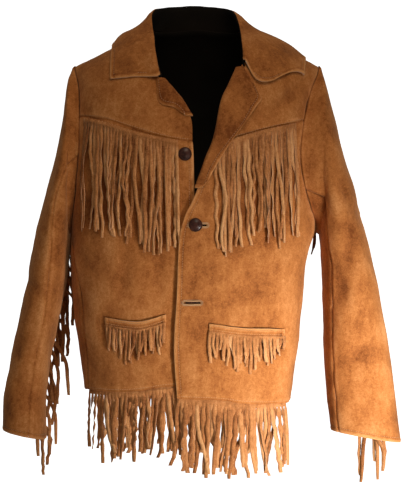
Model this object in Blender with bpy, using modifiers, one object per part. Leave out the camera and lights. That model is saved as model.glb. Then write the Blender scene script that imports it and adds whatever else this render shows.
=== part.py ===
"""A hip-length suede jacket with fringe, filled out as when it is worn, in metres.

+X is the wearer's left, -Y is the front and +Z is up. The origin lies between the
neck points, at the height where the shoulders carry the jacket. Every panel is an
open surface, which is the inner face of the cloth, with a Solidify modifier that
grows the wall outward.
"""
import math

import bpy
import numpy as np

# Driving sizes
WALL = 0.0018
COLLAR_WALL = 0.0030
STRAND_WALL = 0.0014
SEAM = 0.0003
SHOULDER_TIP = 0.2145
SHOULDER_TIP_Z = -0.0305
SHOULDER_SLOPE = 0.50
NECK_ROUNDING = 0.030
PIT_Z = -0.3170
BACK_NECK_Z = 0.040
CHEST_DROP_AT_ARM = 0.130
CHEST_DROP_AT_NECK = 0.120
CHEST_DROP_REACH = 0.090
LAP = 0.0080
LAP_REACH = 0.080
ARMHOLE_GAP = 0.0036
CHEST_IN_Z = -0.300
BACK_HEM_Z = -0.602
FRONT_COLUMNS = 14
LAID = WALL + SEAM
HEM_GAP = 0.0016
SEAM_TURN = SEAM / 0.3
SHOULDER_SEAM = 2.5 * SEAM
SLEEVE_SEAM_ANGLE = 0.006
BACK_NECK_ANGLE = 18.6
SHOULDER_ANGLE = 81.0
COLLAR_LIFT = LAID + COLLAR_WALL + 0.0020
COLLAR_COLUMNS = 25
STRIP = 0.007
STRAND_TAPER = 0.35
HEM_STRAND = 0.0045
SLEEVE_STRAND = 0.0042
SLEEVE_STRIP = 0.068
SLEEVE_BEHIND = 0.0045
SLEEVE_STEP = 0.0024
HOLE_HEIGHT = 0.0026

# Horizontal sections of the body, from the hem up, outer sizes
BODY = {
    "z":          (-0.625, -0.525, -0.455, -0.385, -0.345, -0.315, -0.270, -0.200, -0.120,
                   -0.070, -0.030, 0.060),
    "centre":     (-0.016, -0.015, -0.016, -0.015, -0.012, -0.006, -0.009, -0.013, -0.008,
                   -0.003, 0.000, 0.000),
    "half_width": (0.177, 0.190, 0.199, 0.204, 0.208, 0.2125, 0.211, 0.2115, 0.207,
                   0.209, 0.2167, 0.2167),
    "front":      (0.119, 0.122, 0.124, 0.126, 0.127, 0.127, 0.127, 0.126, 0.126,
                   0.126, 0.126, 0.126),
    "back":       (0.120, 0.120, 0.117, 0.114, 0.114, 0.115, 0.117, 0.119, 0.119,
                   0.118, 0.116, 0.116),
}
POWER = 2.5

# Armhole: degrees round the section from the front centre, or from the back centre
ARMHOLE = {
    "z":     (-0.317, -0.300, -0.270, -0.200, -0.120, -0.070, -0.0305),
    "front": (90.0, 82.0, 73.0, 62.5, 67.5, 74.0, 81.0),
    "back":  (90.0, 83.0, 75.0, 66.0, 70.0, 76.0, 81.0),
}
# Side seams: degrees round the section from the front centre
SIDE_SEAM = {
    "z":     (-0.625, -0.500, -0.410, -0.360, -0.335, -0.317),
    "right": (70.0, 63.0, 64.0, 72.0, 80.0, 90.0),
    "left":  (95.0, 97.0, 96.0, 93.0, 91.0, 90.0),
}
# Free edge and neckline of the fronts, from the hem up
RIGHT_EDGE = {
    "z": (-0.600, -0.350, -0.249, -0.182, -0.168, -0.124, -0.0997, -0.079, -0.058, -0.030,
          0.000, 0.032),
    "x": (-0.0047, -0.0047, -0.0047, -0.0064, -0.0075, -0.0115, -0.0268, -0.0421, -0.060, -0.078,
          -0.086, -0.087),
}
LEFT_EDGE = {
    "z": (-0.600, -0.518, -0.417, -0.367, -0.323, -0.291, -0.270, -0.246, -0.199, -0.173,
          -0.148, -0.097, -0.062, -0.030, 0.000, 0.032),
    "x": (-0.0332, -0.0382, -0.0331, -0.0315, -0.028, -0.0187, -0.008, 0.002, 0.0188, 0.0289,
          0.0357, 0.0476, 0.062, 0.079, 0.086, 0.087),
}
# Yoke seams and hems as heights along x
RIGHT_YOKE = {"x": (-0.201, -0.165, -0.113, -0.062, -0.008),
              "z": (-0.122, -0.130, -0.147, -0.1595, -0.168)}
LEFT_YOKE = {"x": (0.030, 0.0425, 0.073, 0.1035, 0.142, 0.184),
             "z": (-0.170, -0.1663, -0.1577, -0.1486, -0.1388, -0.128)}
RIGHT_HEM = {"x": (-0.190, -0.148, -0.104, -0.045, -0.005),
             "z": (-0.589, -0.590, -0.588, -0.580, -0.579)}
LEFT_HEM = {"x": (-0.035, 0.029, 0.083, 0.130, 0.165),
            "z": (-0.5995, -0.6035, -0.610, -0.611, -0.6125)}

# Folds of the body: a soft trough (depth below zero) or ridge along a line
BODY_FOLDS = {
    "face":  ("front", "front", "front", "front", "front", "front",
              "back", "back", "back", "back", "back", "back"),
    "x0":    (0.184, 0.066, -0.1196, -0.060, 0.030, -0.150,
              -0.120, 0.118, -0.055, 0.070, -0.175, 0.165),
    "z0":    (-0.057, -0.346, -0.350, -0.330, -0.330, -0.200,
              -0.110, -0.120, -0.320, -0.350, -0.330, -0.345),
    "x1":    (0.1295, 0.123, -0.124, -0.064, 0.095, -0.185,
              -0.150, 0.150, -0.070, 0.050, -0.080, 0.085),
    "z1":    (-0.115, -0.451, -0.420, -0.440, -0.370, -0.300,
              -0.260, -0.250, -0.520, -0.500, -0.400, -0.390),
    "width": (0.010, 0.015, 0.011, 0.012, 0.012, 0.013,
              0.016, 0.014, 0.022, 0.019, 0.014, 0.013),
    "depth": (-0.0045, -0.0035, -0.0030, -0.0025, -0.0025, -0.0030,
              -0.0045, -0.0040, -0.0040, 0.0035, -0.0040, -0.0035),
}

# Sleeves: rings from the armhole to the cuff, outer sizes
RIGHT_SLEEVE = {
    "out_x":      (-0.2235, -0.2300, -0.2370, -0.2490, -0.2640, -0.2770, -0.2890, -0.3010,
                   -0.3140, -0.3265, -0.3355, -0.3385),
    "out_z":      (-0.052, -0.090, -0.140, -0.198, -0.252, -0.305, -0.362, -0.425,
                   -0.488, -0.548, -0.603, -0.660),
    "in_x":       (-0.2235, -0.2225, -0.2220, -0.2220, -0.2225, -0.2235, -0.2265, -0.2340,
                   -0.2445, -0.2560, -0.2625, -0.2620),
    "in_z":       (-0.3215, -0.3255, -0.331, -0.338, -0.347, -0.362, -0.392, -0.438,
                   -0.490, -0.545, -0.612, -0.677),
    "front":      (-0.073, -0.076, -0.078, -0.079, -0.078, -0.077, -0.075, -0.073,
                   -0.072, -0.073, -0.074, -0.075),
    "back":       (0.066, 0.070, 0.072, 0.074, 0.074, 0.072, 0.068, 0.062,
                   0.054, 0.046, 0.038, 0.031),
    "front_seam": (96.0, 92.0, 86.0, 80.0, 84.0, 92.0, 98.0, 104.0,
                   108.0, 110.0, 110.0, 106.0),
    "back_seam":  (120.0, 122.0, 124.0, 126.0, 127.0, 128.0, 128.0, 126.0,
                   123.0, 119.0, 114.0, 110.0),
}
LEFT_SLEEVE = {
    "out_x":      (0.2225, 0.2310, 0.2425, 0.2540, 0.2720, 0.2850, 0.2990, 0.3140,
                   0.3270, 0.3390, 0.3470, 0.3545),
    "out_z":      (-0.050, -0.085, -0.130, -0.180, -0.235, -0.290, -0.345, -0.408,
                   -0.480, -0.550, -0.620, -0.683),
    "in_x":       (0.2135, 0.2140, 0.2145, 0.2150, 0.2155, 0.2165, 0.2180, 0.2188,
                   0.2195, 0.2220, 0.2265, 0.2330),
    "in_z":       (-0.3215, -0.3255, -0.331, -0.338, -0.346, -0.360, -0.388, -0.430,
                   -0.490, -0.550, -0.612, -0.662),
    "front":      (-0.073, -0.076, -0.079, -0.080, -0.080, -0.079, -0.077, -0.074,
                   -0.071, -0.069, -0.067, -0.065),
    "back":       (0.066, 0.069, 0.070, 0.070, 0.068, 0.065, 0.060, 0.054,
                   0.046, 0.037, 0.029, 0.022),
    "front_seam": (120.0, 122.0, 125.0, 128.0, 130.0, 132.0, 134.0, 136.0,
                   138.0, 140.0, 142.0, 144.0),
    "back_seam":  (112.0, 110.0, 106.0, 103.0, 100.0, 97.0, 94.0, 91.0,
                   88.0, 85.0, 82.0, 80.0),
}
RINGS = 12
SLEEVE = {"right": RIGHT_SLEEVE, "left": LEFT_SLEEVE}
SLEEVE_FOLDS = {
    "side":  ("left", "left", "left", "left", "left", "left", "left",
              "right", "right", "right", "right", "right", "right",
              "left", "left", "left", "right", "right", "right"),
    "face":  ("front", "front", "front", "front", "front", "front", "front",
              "front", "front", "front", "front", "front", "front",
              "back", "back", "back", "back", "back", "back"),
    "x0":    (0.213, 0.2465, 0.2671, 0.2344, 0.300, 0.262, 0.300,
              -0.2258, -0.245, -0.259, -0.300, -0.290, -0.318,
              0.235, 0.300, 0.250, -0.240, -0.295, -0.262),
    "z0":    (-0.240, -0.238, -0.2845, -0.3586, -0.258, -0.395, -0.500,
              -0.178, -0.278, -0.392, -0.395, -0.500, -0.560,
              -0.260, -0.350, -0.480, -0.260, -0.370, -0.500),
    "x1":    (0.2292, 0.2671, 0.2533, 0.2465, 0.278, 0.268, 0.262,
              -0.245, -0.259, -0.273, -0.262, -0.318, -0.280,
              0.275, 0.240, 0.320, -0.275, -0.245, -0.315),
    "z1":    (-0.3035, -0.2845, -0.4189, -0.4396, -0.300, -0.440, -0.545,
              -0.278, -0.392, -0.600, -0.430, -0.545, -0.610,
              -0.350, -0.420, -0.560, -0.350, -0.430, -0.570),
    "width": (0.010, 0.010, 0.012, 0.011, 0.010, 0.012, 0.014,
              0.009, 0.008, 0.009, 0.012, 0.012, 0.013,
              0.013, 0.014, 0.015, 0.012, 0.013, 0.014),
    "depth": (-0.0060, -0.0050, -0.0050, -0.0045, -0.0040, 0.0035, -0.0035,
              0.0030, 0.0030, 0.0030, -0.0035, -0.0030, -0.0030,
              -0.0050, -0.0050, -0.0040, -0.0045, -0.0045, -0.0040),
}

# Collar, from the wearer's right end round the back to the left end: the seam on the
# neckline, the roll in space, and the middle and outer edge of the fall in plan
COLLAR = {
    "neck_x": (-0.0660, -0.0800, -0.0870, -0.0870, -0.0560, 0.0000, 0.0560, 0.0870, 0.0870,
               0.0820, 0.0800),
    "neck_y": (-0.1000, -0.0760, -0.0430, -0.0020, 0.0440, 0.0610, 0.0440, -0.0020, -0.0430,
               -0.0740, -0.0960),
    "roll_x": (-0.0625, -0.0700, -0.0758, -0.0786, -0.0540, -0.0040, 0.0480, 0.0680, 0.0763,
               0.0785, 0.0790),
    "roll_y": (-0.1100, -0.0960, -0.0530, -0.0050, 0.0440, 0.0600, 0.0450, 0.0000, -0.0430,
               -0.0800, -0.1000),
    "roll_z": (-0.0530, -0.0200, 0.0240, 0.0660, 0.0800, 0.0840, 0.0790, 0.0640, 0.0310,
               0.0030, -0.0260),
    "mid_x":  (-0.1030, -0.1060, -0.1080, -0.1100, -0.0850, -0.0050, 0.0900, 0.1260, 0.1320,
               0.1290, 0.1060),
    "mid_y":  (-0.1000, -0.0800, -0.0440, -0.0040, 0.0610, 0.0730, 0.0610, 0.0020, -0.0370,
               -0.0700, -0.1000),
    "rise":   (0.0000, 0.0010, 0.0050, 0.0100, 0.0080, 0.0030, 0.0080, 0.0080, 0.0050, 0.0030,
               0.0030),
    "edge_x": (-0.1450, -0.1455, -0.1450, -0.1430, -0.1200, -0.0050, 0.1300, 0.1830, 0.1860,
               0.1845, 0.1810),
    "edge_y": (-0.0855, -0.0620, -0.0320, -0.0020, 0.0620, 0.0800, 0.0620, 0.0060, -0.0150,
               -0.0310, -0.0525),
}
# Rows across the collar: the seam, a place inside the roll, the roll, a place outside it,
# the middle of the fall and its edge
COLLAR_MARKS = (0.0, 0.30, 0.42, 0.52, 0.76, 1.0)
COLLAR_ROWS = (0.0, 0.17, 0.33, 0.42, 0.52, 0.66, 0.80, 0.90, 1.0)
STEEP_FROM = 0.055
STEEP_TO = 0.090

# Turned-back lapels, from the lower end of the roll up: roll and free edge
LAPEL = {
    "right": {
        "roll_x":    (-0.0115, -0.0268, -0.0421, -0.0590),
        "roll_z":    (-0.1240, -0.0997, -0.0790, -0.0600),
        "free_x":    (-0.0245, -0.0400, -0.0630, -0.0690),
        "free_z":    (-0.1210, -0.1100, -0.1020, -0.0660),
        "lift":      (0.0048, 0.0056, 0.0062, 0.0056),
        "free_lift": (0.0042, 0.0050, 0.0056, 0.0050),
    },
    "left": {
        "roll_x":    (0.0020, 0.0188, 0.0289, 0.0357, 0.0476, 0.0590, 0.0715),
        "roll_z":    (-0.2460, -0.1986, -0.1733, -0.1478, -0.0970, -0.0710, -0.0415),
        "free_x":    (0.0165, 0.0345, 0.0558, 0.0828, 0.0998, 0.1080, 0.0975),
        "free_z":    (-0.2375, -0.2040, -0.1687, -0.1313, -0.1073, -0.0940, -0.0735),
        "lift":      (0.0060, 0.0090, 0.0100, 0.0100, 0.0080, 0.0066, 0.0056),
        "free_lift": (0.0060, 0.0085, 0.0095, 0.0095, 0.0072, 0.0050, 0.0036),
    },
}
LAPEL_GRID = {"right": (6, 4), "left": (12, 6)}
# Columns round the roll of a lapel: distance past the front's edge, share of the lift and
# depth behind the panel
LAPEL_ROLL = {
    "past":   (-0.0090, -0.0010, 0.0058, 0.0030, -0.0060),
    "share":  (0.0, 0.0, 0.25, 0.85, 1.0),
    "behind": (0.0044, 0.0044, 0.0, 0.0, 0.0),
}

# Rows of a sleeve strand: shares of its way across and down, how far its width has turned
# level, and its width
SLEEVE_BEND = {
    "across": (0.75, 1.0, 1.0, 1.0),
    "down":   (0.06, 0.20, 0.60, 1.0),
    "turned": (0.45, 1.0, 1.0, 1.0),
    "width":  (1.0, 1.0, 0.95, 0.65),
}

# Pocket flaps: upper edge and lower edge along x
RIGHT_POCKET = {"x": (-0.154, -0.125, -0.096, -0.052),
                "top": (-0.4640, -0.4685, -0.4700, -0.4585),
                "foot": (-0.4830, -0.4880, -0.4890, -0.4800)}
LEFT_POCKET = {"x": (0.021, 0.045, 0.081, 0.125, 0.147),
               "top": (-0.4735, -0.4770, -0.4815, -0.4830, -0.4850),
               "foot": (-0.4960, -0.4995, -0.5040, -0.5040, -0.5020)}

# Ends of the strands: lowest point along x
RIGHT_CHEST_ENDS = {"x": (-0.187, -0.150, -0.110, -0.087, -0.055, -0.033),
                    "z": (-0.318, -0.320, -0.332, -0.344, -0.351, -0.337)}
LEFT_CHEST_ENDS = {"x": (0.030, 0.055, 0.085, 0.118, 0.130, 0.160),
                   "z": (-0.350, -0.353, -0.331, -0.321, -0.338, -0.325)}
RIGHT_POCKET_ENDS = {"x": (-0.158, -0.138, -0.116, -0.096, -0.070, -0.052),
                     "z": (-0.511, -0.520, -0.533, -0.534, -0.522, -0.512)}
LEFT_POCKET_ENDS = {"x": (0.020, 0.052, 0.082, 0.110, 0.147),
                    "z": (-0.528, -0.540, -0.547, -0.541, -0.528)}
RIGHT_HEM_ENDS = {"x": (-0.190, -0.160, -0.120, -0.090, -0.065, -0.040),
                  "z": (-0.686, -0.700, -0.704, -0.690, -0.688, -0.702)}
LEFT_HEM_ENDS = {"x": (-0.035, 0.000, 0.045, 0.090, 0.130, 0.165),
                 "z": (-0.716, -0.728, -0.722, -0.728, -0.722, -0.712)}
BACK_HEM_STRAND = 0.108

# Buttons: x and height of the middle, and whether the button lies on the lapped front
BUTTONS = {"x": (-0.0198, -0.0020, -0.0070), "z": (-0.1886, -0.3080, -0.4387), "over": (0.0, 1.0, 0.0)}
# Profile of a button: distance from the middle and height
BUTTON = {"radius": (0.0, 0.0045, 0.0085, 0.0108, 0.0115, 0.0108, 0.0),
          "height": (0.0052, 0.0047, 0.0033, 0.0018, 0.0009, 0.0, 0.0)}
BUTTON_SIDES = 16
# Buttonholes of the left front: ends along x and height
HOLES = {"x0": (-0.0120, -0.0210), "x1": (0.0165, 0.0060), "z": (-0.3085, -0.4387)}

# Materials: base colour, roughness and metallic value
FINISHES = {
    "suede": ((0.37, 0.16, 0.06, 1.0), 0.92, 0.0),
    "suede_fringe": ((0.45, 0.22, 0.10, 1.0), 0.95, 0.0),
    "button_leather": ((0.035, 0.014, 0.010, 1.0), 0.35, 0.0),
}


def smooth(keys, values, at):
    """Cubic curve through the rows of a table, read at the places given."""
    keys = np.asarray(keys, float)
    values = np.asarray(values, float)
    if keys[0] > keys[-1]:
        keys, values = keys[::-1], values[::-1]
    slope = np.gradient(values, keys)
    at = np.clip(at, keys[0], keys[-1])
    left = np.clip(np.searchsorted(keys, at, side="right") - 1, 0, len(keys) - 2)
    span = keys[left + 1] - keys[left]
    f = (at - keys[left]) / span
    return ((1 + 2 * f) * (1 - f) ** 2 * values[left] + f * (1 - f) ** 2 * span * slope[left]
            + f * f * (3 - 2 * f) * values[left + 1] + f * f * (f - 1) * span * slope[left + 1])


def ridge_height(x):
    """Height of the shoulder line: a slope from the tip to the neck, rounded at the middle."""
    tip = math.hypot(SHOULDER_TIP, NECK_ROUNDING)
    return SHOULDER_TIP_Z - WALL + SHOULDER_SLOPE * (tip - np.sqrt(x * x + NECK_ROUNDING ** 2))


def chest_drop(x):
    """Height over which the chest and back run out from the shoulder line to full depth."""
    return CHEST_DROP_AT_ARM + CHEST_DROP_AT_NECK * np.exp(-(x / CHEST_DROP_REACH) ** 2)


def section(turn):
    """Sine and cosine of a rounded section; turn is 0 at the front centre, 1 and -1 at the
    sides and 2 at the back centre."""
    size = np.abs(turn)
    fold = np.where(size > 1, 2 - size, size)
    angle = math.pi / 2 * np.clip(fold, 0, 1) ** (POWER / 2)
    across = np.sign(turn) * np.sin(angle) ** (2 / POWER)
    along = np.cos(angle) ** (2 / POWER) * np.where(size > 1, -1, 1)
    return across, along


def turn_of_angle(degrees):
    """The turn value of an angle from the front or back centre, past a side as well."""
    folded = np.where(degrees > 90, 180 - degrees, degrees)
    size = (np.radians(folded) / (math.pi / 2)) ** (2 / POWER)
    return np.where(degrees > 90, 2 - size, size)


def smooth_body(turn, drop, over):
    """Smooth inner face of the body; drop runs down the cloth from the shoulder line."""
    across, along = section(turn)
    x = across * SHOULDER_TIP
    for _ in range(5):
        reach = chest_drop(x)
        curved = np.clip(drop / reach, -math.pi / 2, math.pi / 2)
        straight = np.maximum(np.abs(drop) - reach * math.pi / 2, 0)
        z = ridge_height(x) - reach * (1 - np.cos(curved)) - straight
        x = smooth(BODY["z"], BODY["centre"], z) + (smooth(BODY["z"], BODY["half_width"], z) - WALL) * across
    lap = over * LAP * np.exp(-((x + 0.015) / LAP_REACH) ** 4)
    front = smooth(BODY["z"], BODY["front"], z) + lap
    depth = np.where(along >= 0, front, smooth(BODY["z"], BODY["back"], z)) - WALL
    return np.stack([x, -depth * along * np.sin(curved), z], -1)


def body(turn, drop, lift=0.0, over=0.0, laid=False):
    """Folded inner face of the body, moved out along its normal by lift; what is laid on
    the cloth bridges its troughs."""
    turn, drop = np.broadcast_arrays(np.asarray(turn, float), np.asarray(drop, float))
    step = 1e-4
    place = smooth_body(turn, drop, over)
    round_way = smooth_body(turn + step, drop, over) - smooth_body(turn - step, drop, over)
    down_way = smooth_body(turn, drop + step, over) - smooth_body(turn, drop - step, over)
    normal = np.cross(down_way, round_way)
    normal /= np.linalg.norm(normal, axis=-1, keepdims=True)
    face = np.where(place[..., 1] < 0, "front", "back")
    move = fold_depth(BODY_FOLDS, place[..., 0], place[..., 2], face)
    move = (np.maximum(move, 0) if laid else move) + lift
    return place + normal * move[..., None]


def fold_depth(folds, x, z, face, side=None):
    """Sum of soft troughs and ridges: a bell across each fold's line, fading past its ends."""
    total = np.zeros_like(x)
    for row in range(len(folds["x0"])):
        if side is not None and folds["side"][row] != side:
            continue
        ax, az = folds["x0"][row], folds["z0"][row]
        bx, bz = folds["x1"][row] - ax, folds["z1"][row] - az
        f = np.clip(((x - ax) * bx + (z - az) * bz) / (bx * bx + bz * bz), 0, 1)
        far = np.hypot(x - ax - f * bx, z - az - f * bz) / folds["width"][row]
        swell = 0.55 + 0.45 * np.sin(math.pi * f)
        total += np.where(face == folds["face"][row], folds["depth"][row] * swell * np.exp(-far * far), 0)
    return total


def drop_at(x, z):
    """Distance down the cloth at a given x and height."""
    x, z = np.asarray(x, float), np.asarray(z, float)
    reach = chest_drop(x)
    fall = np.maximum(ridge_height(x) - z, 0)
    curved = reach * np.arccos(np.clip(1 - fall / reach, 0, 1))
    return np.where(fall < reach, curved, reach * math.pi / 2 + fall - reach)


def turn_at(x, z, face="front"):
    """The turn value at a given x and height."""
    x, z = np.asarray(x, float), np.asarray(z, float)
    across = (x - smooth(BODY["z"], BODY["centre"], z)) / (smooth(BODY["z"], BODY["half_width"], z) - WALL)
    size = (np.arcsin(np.clip(np.abs(across), 0, 1) ** (POWER / 2)) / (math.pi / 2)) ** (2 / POWER)
    return np.sign(across) * (size if face == "front" else 2 - size)


def on_body(x, z, lift, face="front", over=0.0):
    """The point of the body at x and height z, seen from the front or the back."""
    return body(turn_at(x, z, face), drop_at(x, z), lift, over, laid=True)


def over_shoulder(x, y, lift):
    """The point of the body above a place x, y of the plan, near the shoulder line."""
    x, y = np.asarray(x, float), np.asarray(y, float)
    z = ridge_height(x)
    for _ in range(6):
        centre = smooth(BODY["z"], BODY["centre"], z)
        across = np.clip(np.abs(x - centre) / (smooth(BODY["z"], BODY["half_width"], z) - WALL), 0, 0.999)
        front, back = smooth(BODY["z"], BODY["front"], z), smooth(BODY["z"], BODY["back"], z)
        depth = np.where(y < 0, front, back) - WALL
        full = depth * (1 - across ** POWER) ** (1 / POWER)
        slope = np.arcsin(np.clip(np.abs(y) / full, 0, 1))
        z = ridge_height(x) - chest_drop(x) * (1 - np.cos(slope))
    size = (np.arcsin(across ** (POWER / 2)) / (math.pi / 2)) ** (2 / POWER)
    turn = np.sign(x - centre) * np.where(y < 0, size, 2 - size)
    return body(turn, chest_drop(x) * slope, lift, laid=True)


def sheet_object(name, points, wall, finish, outward=True):
    """A grid of points as an open surface with its wall grown by Solidify."""
    rows, columns = points.shape[:2]
    index = np.arange(rows * columns).reshape(rows, columns)
    faces = np.stack([index[:-1, :-1], index[:-1, 1:], index[1:, 1:], index[1:, :-1]], -1).reshape(-1, 4)
    return surface_object(name, points.reshape(-1, 3), faces, wall, finish, outward)


def surface_object(name, points, faces, wall, finish, outward=True):
    """Points and quads as a named object with Solidify; outward grows along the normals."""
    mesh = bpy.data.meshes.new(name)
    mesh.from_pydata([tuple(p) for p in points], [], [tuple(int(i) for i in f) for f in faces])
    mesh.update()
    mesh.shade_smooth()
    mesh.materials.append(materials[finish])
    made = bpy.data.objects.new(name, mesh)
    jacket.objects.link(made)
    thicken = made.modifiers.new("wall", "SOLIDIFY")
    thicken.thickness = wall
    thicken.offset = 1.0 if outward else -1.0
    return made


def armhole_turn(z, face):
    return turn_of_angle(smooth(ARMHOLE["z"], ARMHOLE[face], z))


def outer_line(side, heights):
    """Turn values of a front panel's outer edge: side seam, then armhole."""
    seam = turn_of_angle(smooth(SIDE_SEAM["z"], SIDE_SEAM[side], heights))
    return np.where(heights < PIT_Z, seam, armhole_turn(heights, "front"))


SIGN = {"right": -1.0, "left": 1.0}
EDGE = {"right": RIGHT_EDGE, "left": LEFT_EDGE}
YOKE = {"right": RIGHT_YOKE, "left": LEFT_YOKE}
HEM = {"right": RIGHT_HEM, "left": LEFT_HEM}
POCKET = {"right": RIGHT_POCKET, "left": LEFT_POCKET}
OVER = {"right": 0.0, "left": 1.0}


def front_patch(side, inner_z, outer_z, foot_z, top_z, columns):
    """Grid between heights on the free edge and the outer edge, and between two heights
    given as functions of x at its foot and its top; it returns turn and drop values."""
    inner_x = smooth(EDGE[side]["z"], EDGE[side]["x"], inner_z)
    inner_turn = turn_at(inner_x, inner_z)
    inner_drop = drop_at(inner_x, inner_z)
    outer_turn = SIGN[side] * outer_line(side, outer_z)
    centre = smooth(BODY["z"], BODY["centre"], outer_z)
    width = smooth(BODY["z"], BODY["half_width"], outer_z) - WALL
    outer_drop = drop_at(centre + width * section(outer_turn)[0], outer_z)
    f = np.linspace(0, 1, columns)
    turn = inner_turn[:, None] * (1 - f) + (outer_turn[:, None] - SIGN[side] * SEAM_TURN) * f
    ends = []
    for row, height in ((0, foot_z), (-1, top_z)):
        x = smooth_body(turn[row], inner_drop[row] * (1 - f) + outer_drop[row] * f, 0.0)[:, 0]
        ends.append(drop_at(x, height(x, f)))
    return turn, coons(inner_drop, outer_drop, ends[0], ends[1])


def coons(first, last, foot, top):
    """Values inside a four-sided patch, blended from the values along its sides."""
    up = np.linspace(0, 1, len(first))[:, None]
    across = np.linspace(0, 1, len(foot))
    sides = first[:, None] * (1 - across) + last[:, None] * across
    ends = foot * (1 - up) + top * up
    corners = ((foot[0] * (1 - across) + foot[-1] * across) * (1 - up)
               + (top[0] * (1 - across) + top[-1] * across) * up)
    return sides + ends - corners


def front_panels(side):
    """Front panel below the yoke seam and the yoke above it."""
    hem, yoke = HEM[side], YOKE[side]
    inner = -1 if side == "right" else 0
    outer = 0 if side == "right" else -1
    seam_in, seam_out = yoke["z"][inner], yoke["z"][outer]

    def hem_line(x, f):
        return smooth(hem["x"], hem["z"], x)

    def chest_line(x, f):
        return CHEST_IN_Z * (1 - f) + PIT_Z * f

    def below_seam(x, f):
        return smooth(yoke["x"], yoke["z"], x) - SEAM / 2

    def above_seam(x, f):
        return smooth(yoke["x"], yoke["z"], x) + SEAM / 2

    def shoulder_line(x, f):
        return ridge_height(x)

    low = front_patch(side, np.linspace(hem["z"][inner], CHEST_IN_Z, 10),
                      np.linspace(hem["z"][outer], PIT_Z, 10), hem_line, chest_line, FRONT_COLUMNS)
    high = front_patch(side, np.linspace(CHEST_IN_Z, seam_in - SEAM / 2, 8),
                       np.linspace(PIT_Z, seam_out - SEAM / 2, 8), chest_line, below_seam, FRONT_COLUMNS)
    yoke_grid = front_patch(side, np.linspace(seam_in + SEAM / 2, 0.032, 8),
                            np.linspace(seam_out + SEAM / 2, SHOULDER_TIP_Z - WALL, 8),
                            above_seam, shoulder_line, FRONT_COLUMNS)
    yoke_grid[1][-1] = SHOULDER_SEAM
    panel = body(np.concatenate([low[0], high[0][1:]]), np.concatenate([low[1], high[1][1:]]), 0, OVER[side])
    shoulder = body(*yoke_grid, 0, OVER[side])
    if side == "right":
        panel, shoulder = panel[:, ::-1], shoulder[:, ::-1]
    sheet_object(f"front_{side}", panel, WALL, "suede")
    sheet_object(f"yoke_{side}", shoulder, WALL, "suede")


def back_panel():
    """One back, from side seam to side seam, over the shoulder blades to the neckline."""
    neck_share = float(turn_of_angle(BACK_NECK_ANGLE) / turn_of_angle(SHOULDER_ANGLE))
    shares = np.r_[np.linspace(0, neck_share, 4), np.linspace(neck_share, 1, 7)[1:]]
    shares = np.r_[-shares[::-1], shares[1:]]
    size = np.abs(shares)
    sign = np.where(shares < 0, -1.0, 1.0)
    hem_ends = {"right": RIGHT_HEM["z"][0], "left": LEFT_HEM["z"][-1]}
    low, high = np.linspace(0, 1, 10), np.linspace(0, 1, 10)
    turns, drops = [], []
    for part, way in (("low", low), ("high", high)):
        edges, edge_drops = {}, {}
        for side in ("right", "left"):
            if part == "low":
                z = hem_ends[side] + (PIT_Z - hem_ends[side]) * way
                edge = 2 - turn_of_angle(smooth(SIDE_SEAM["z"], SIDE_SEAM[side], z))
            else:
                z = PIT_Z + (SHOULDER_TIP_Z - WALL - PIT_Z) * way
                edge = armhole_turn(z, "back")
            edges[side] = edge - SEAM_TURN
            centre = smooth(BODY["z"], BODY["centre"], z)
            width = smooth(BODY["z"], BODY["half_width"], z) - WALL
            edge_drops[side] = drop_at(centre + SIGN[side] * width * section(edges[side])[0], z)
        edge = np.where(shares < 0, edges["right"][:, None], edges["left"][:, None])
        turn = sign * (2 - size * edge)
        ends = []
        for row in (0, -1):
            guess = np.where(shares < 0, edge_drops["right"][row], edge_drops["left"][row])
            x = smooth_body(turn[row], guess, 0.0)[:, 0]
            hem_z = np.where(shares < 0, hem_ends["right"], hem_ends["left"]) * size + BACK_HEM_Z * (1 - size)
            level = hem_z if part == "low" and row == 0 else PIT_Z + 0 * x
            ends.append(drop_at(x, level))
        if part == "high":
            inside = np.clip(size / neck_share, 0, 1)
            scoop = float(drop_at(0.0, BACK_NECK_Z)) * np.cos(math.pi / 2 * inside) ** 0.7
            ends[1] = np.maximum(scoop, SHOULDER_SEAM)
        drop = coons(edge_drops["right"], edge_drops["left"], ends[0], ends[1])
        if part == "high":
            drop[-1] = ends[1]
        turns.append(turn)
        drops.append(drop)
    turn = np.concatenate([turns[0], turns[1][1:]])
    drop = np.concatenate([drops[0], drops[1][1:]])
    sheet_object("back", body(turn, drop)[:, ::-1], WALL, "suede")


def back_hem(x):
    """Height of the back hem at x."""
    size = np.abs(turn_at(x, BACK_HEM_Z, "front"))
    side_z = RIGHT_HEM["z"][0] if x < BODY["centre"][0] else LEFT_HEM["z"][-1]
    return side_z * size + BACK_HEM_Z * (1 - size)


def sleeve(side, angle, along, lift=0.0):
    """Folded inner face of a sleeve; angle 0 is outermost, 90 the front, along is 0 to 12."""
    angle, along = np.broadcast_arrays(np.asarray(angle, float), np.asarray(along, float))
    place = smooth_sleeve(side, angle, along)
    step = 1e-3
    round_way = smooth_sleeve(side, angle + step, along) - smooth_sleeve(side, angle - step, along)
    down_way = (smooth_sleeve(side, angle, np.minimum(along + step, RINGS))
                - smooth_sleeve(side, angle, np.maximum(along - step, 0)))
    normal = np.cross(round_way, down_way) * SIGN[side]
    normal /= np.linalg.norm(normal, axis=-1, keepdims=True)
    face = np.where(np.sin(angle) > 0, "front", "back")
    fade = np.clip(along / 1.5, 0, 1)
    move = fold_depth(SLEEVE_FOLDS, place[..., 0], place[..., 2], face, side) * fade + lift
    return place + normal * move[..., None]


def read_sleeve(side, key, along):
    return smooth(np.arange(1, RINGS + 1), SLEEVE[side][key], along)


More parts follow.
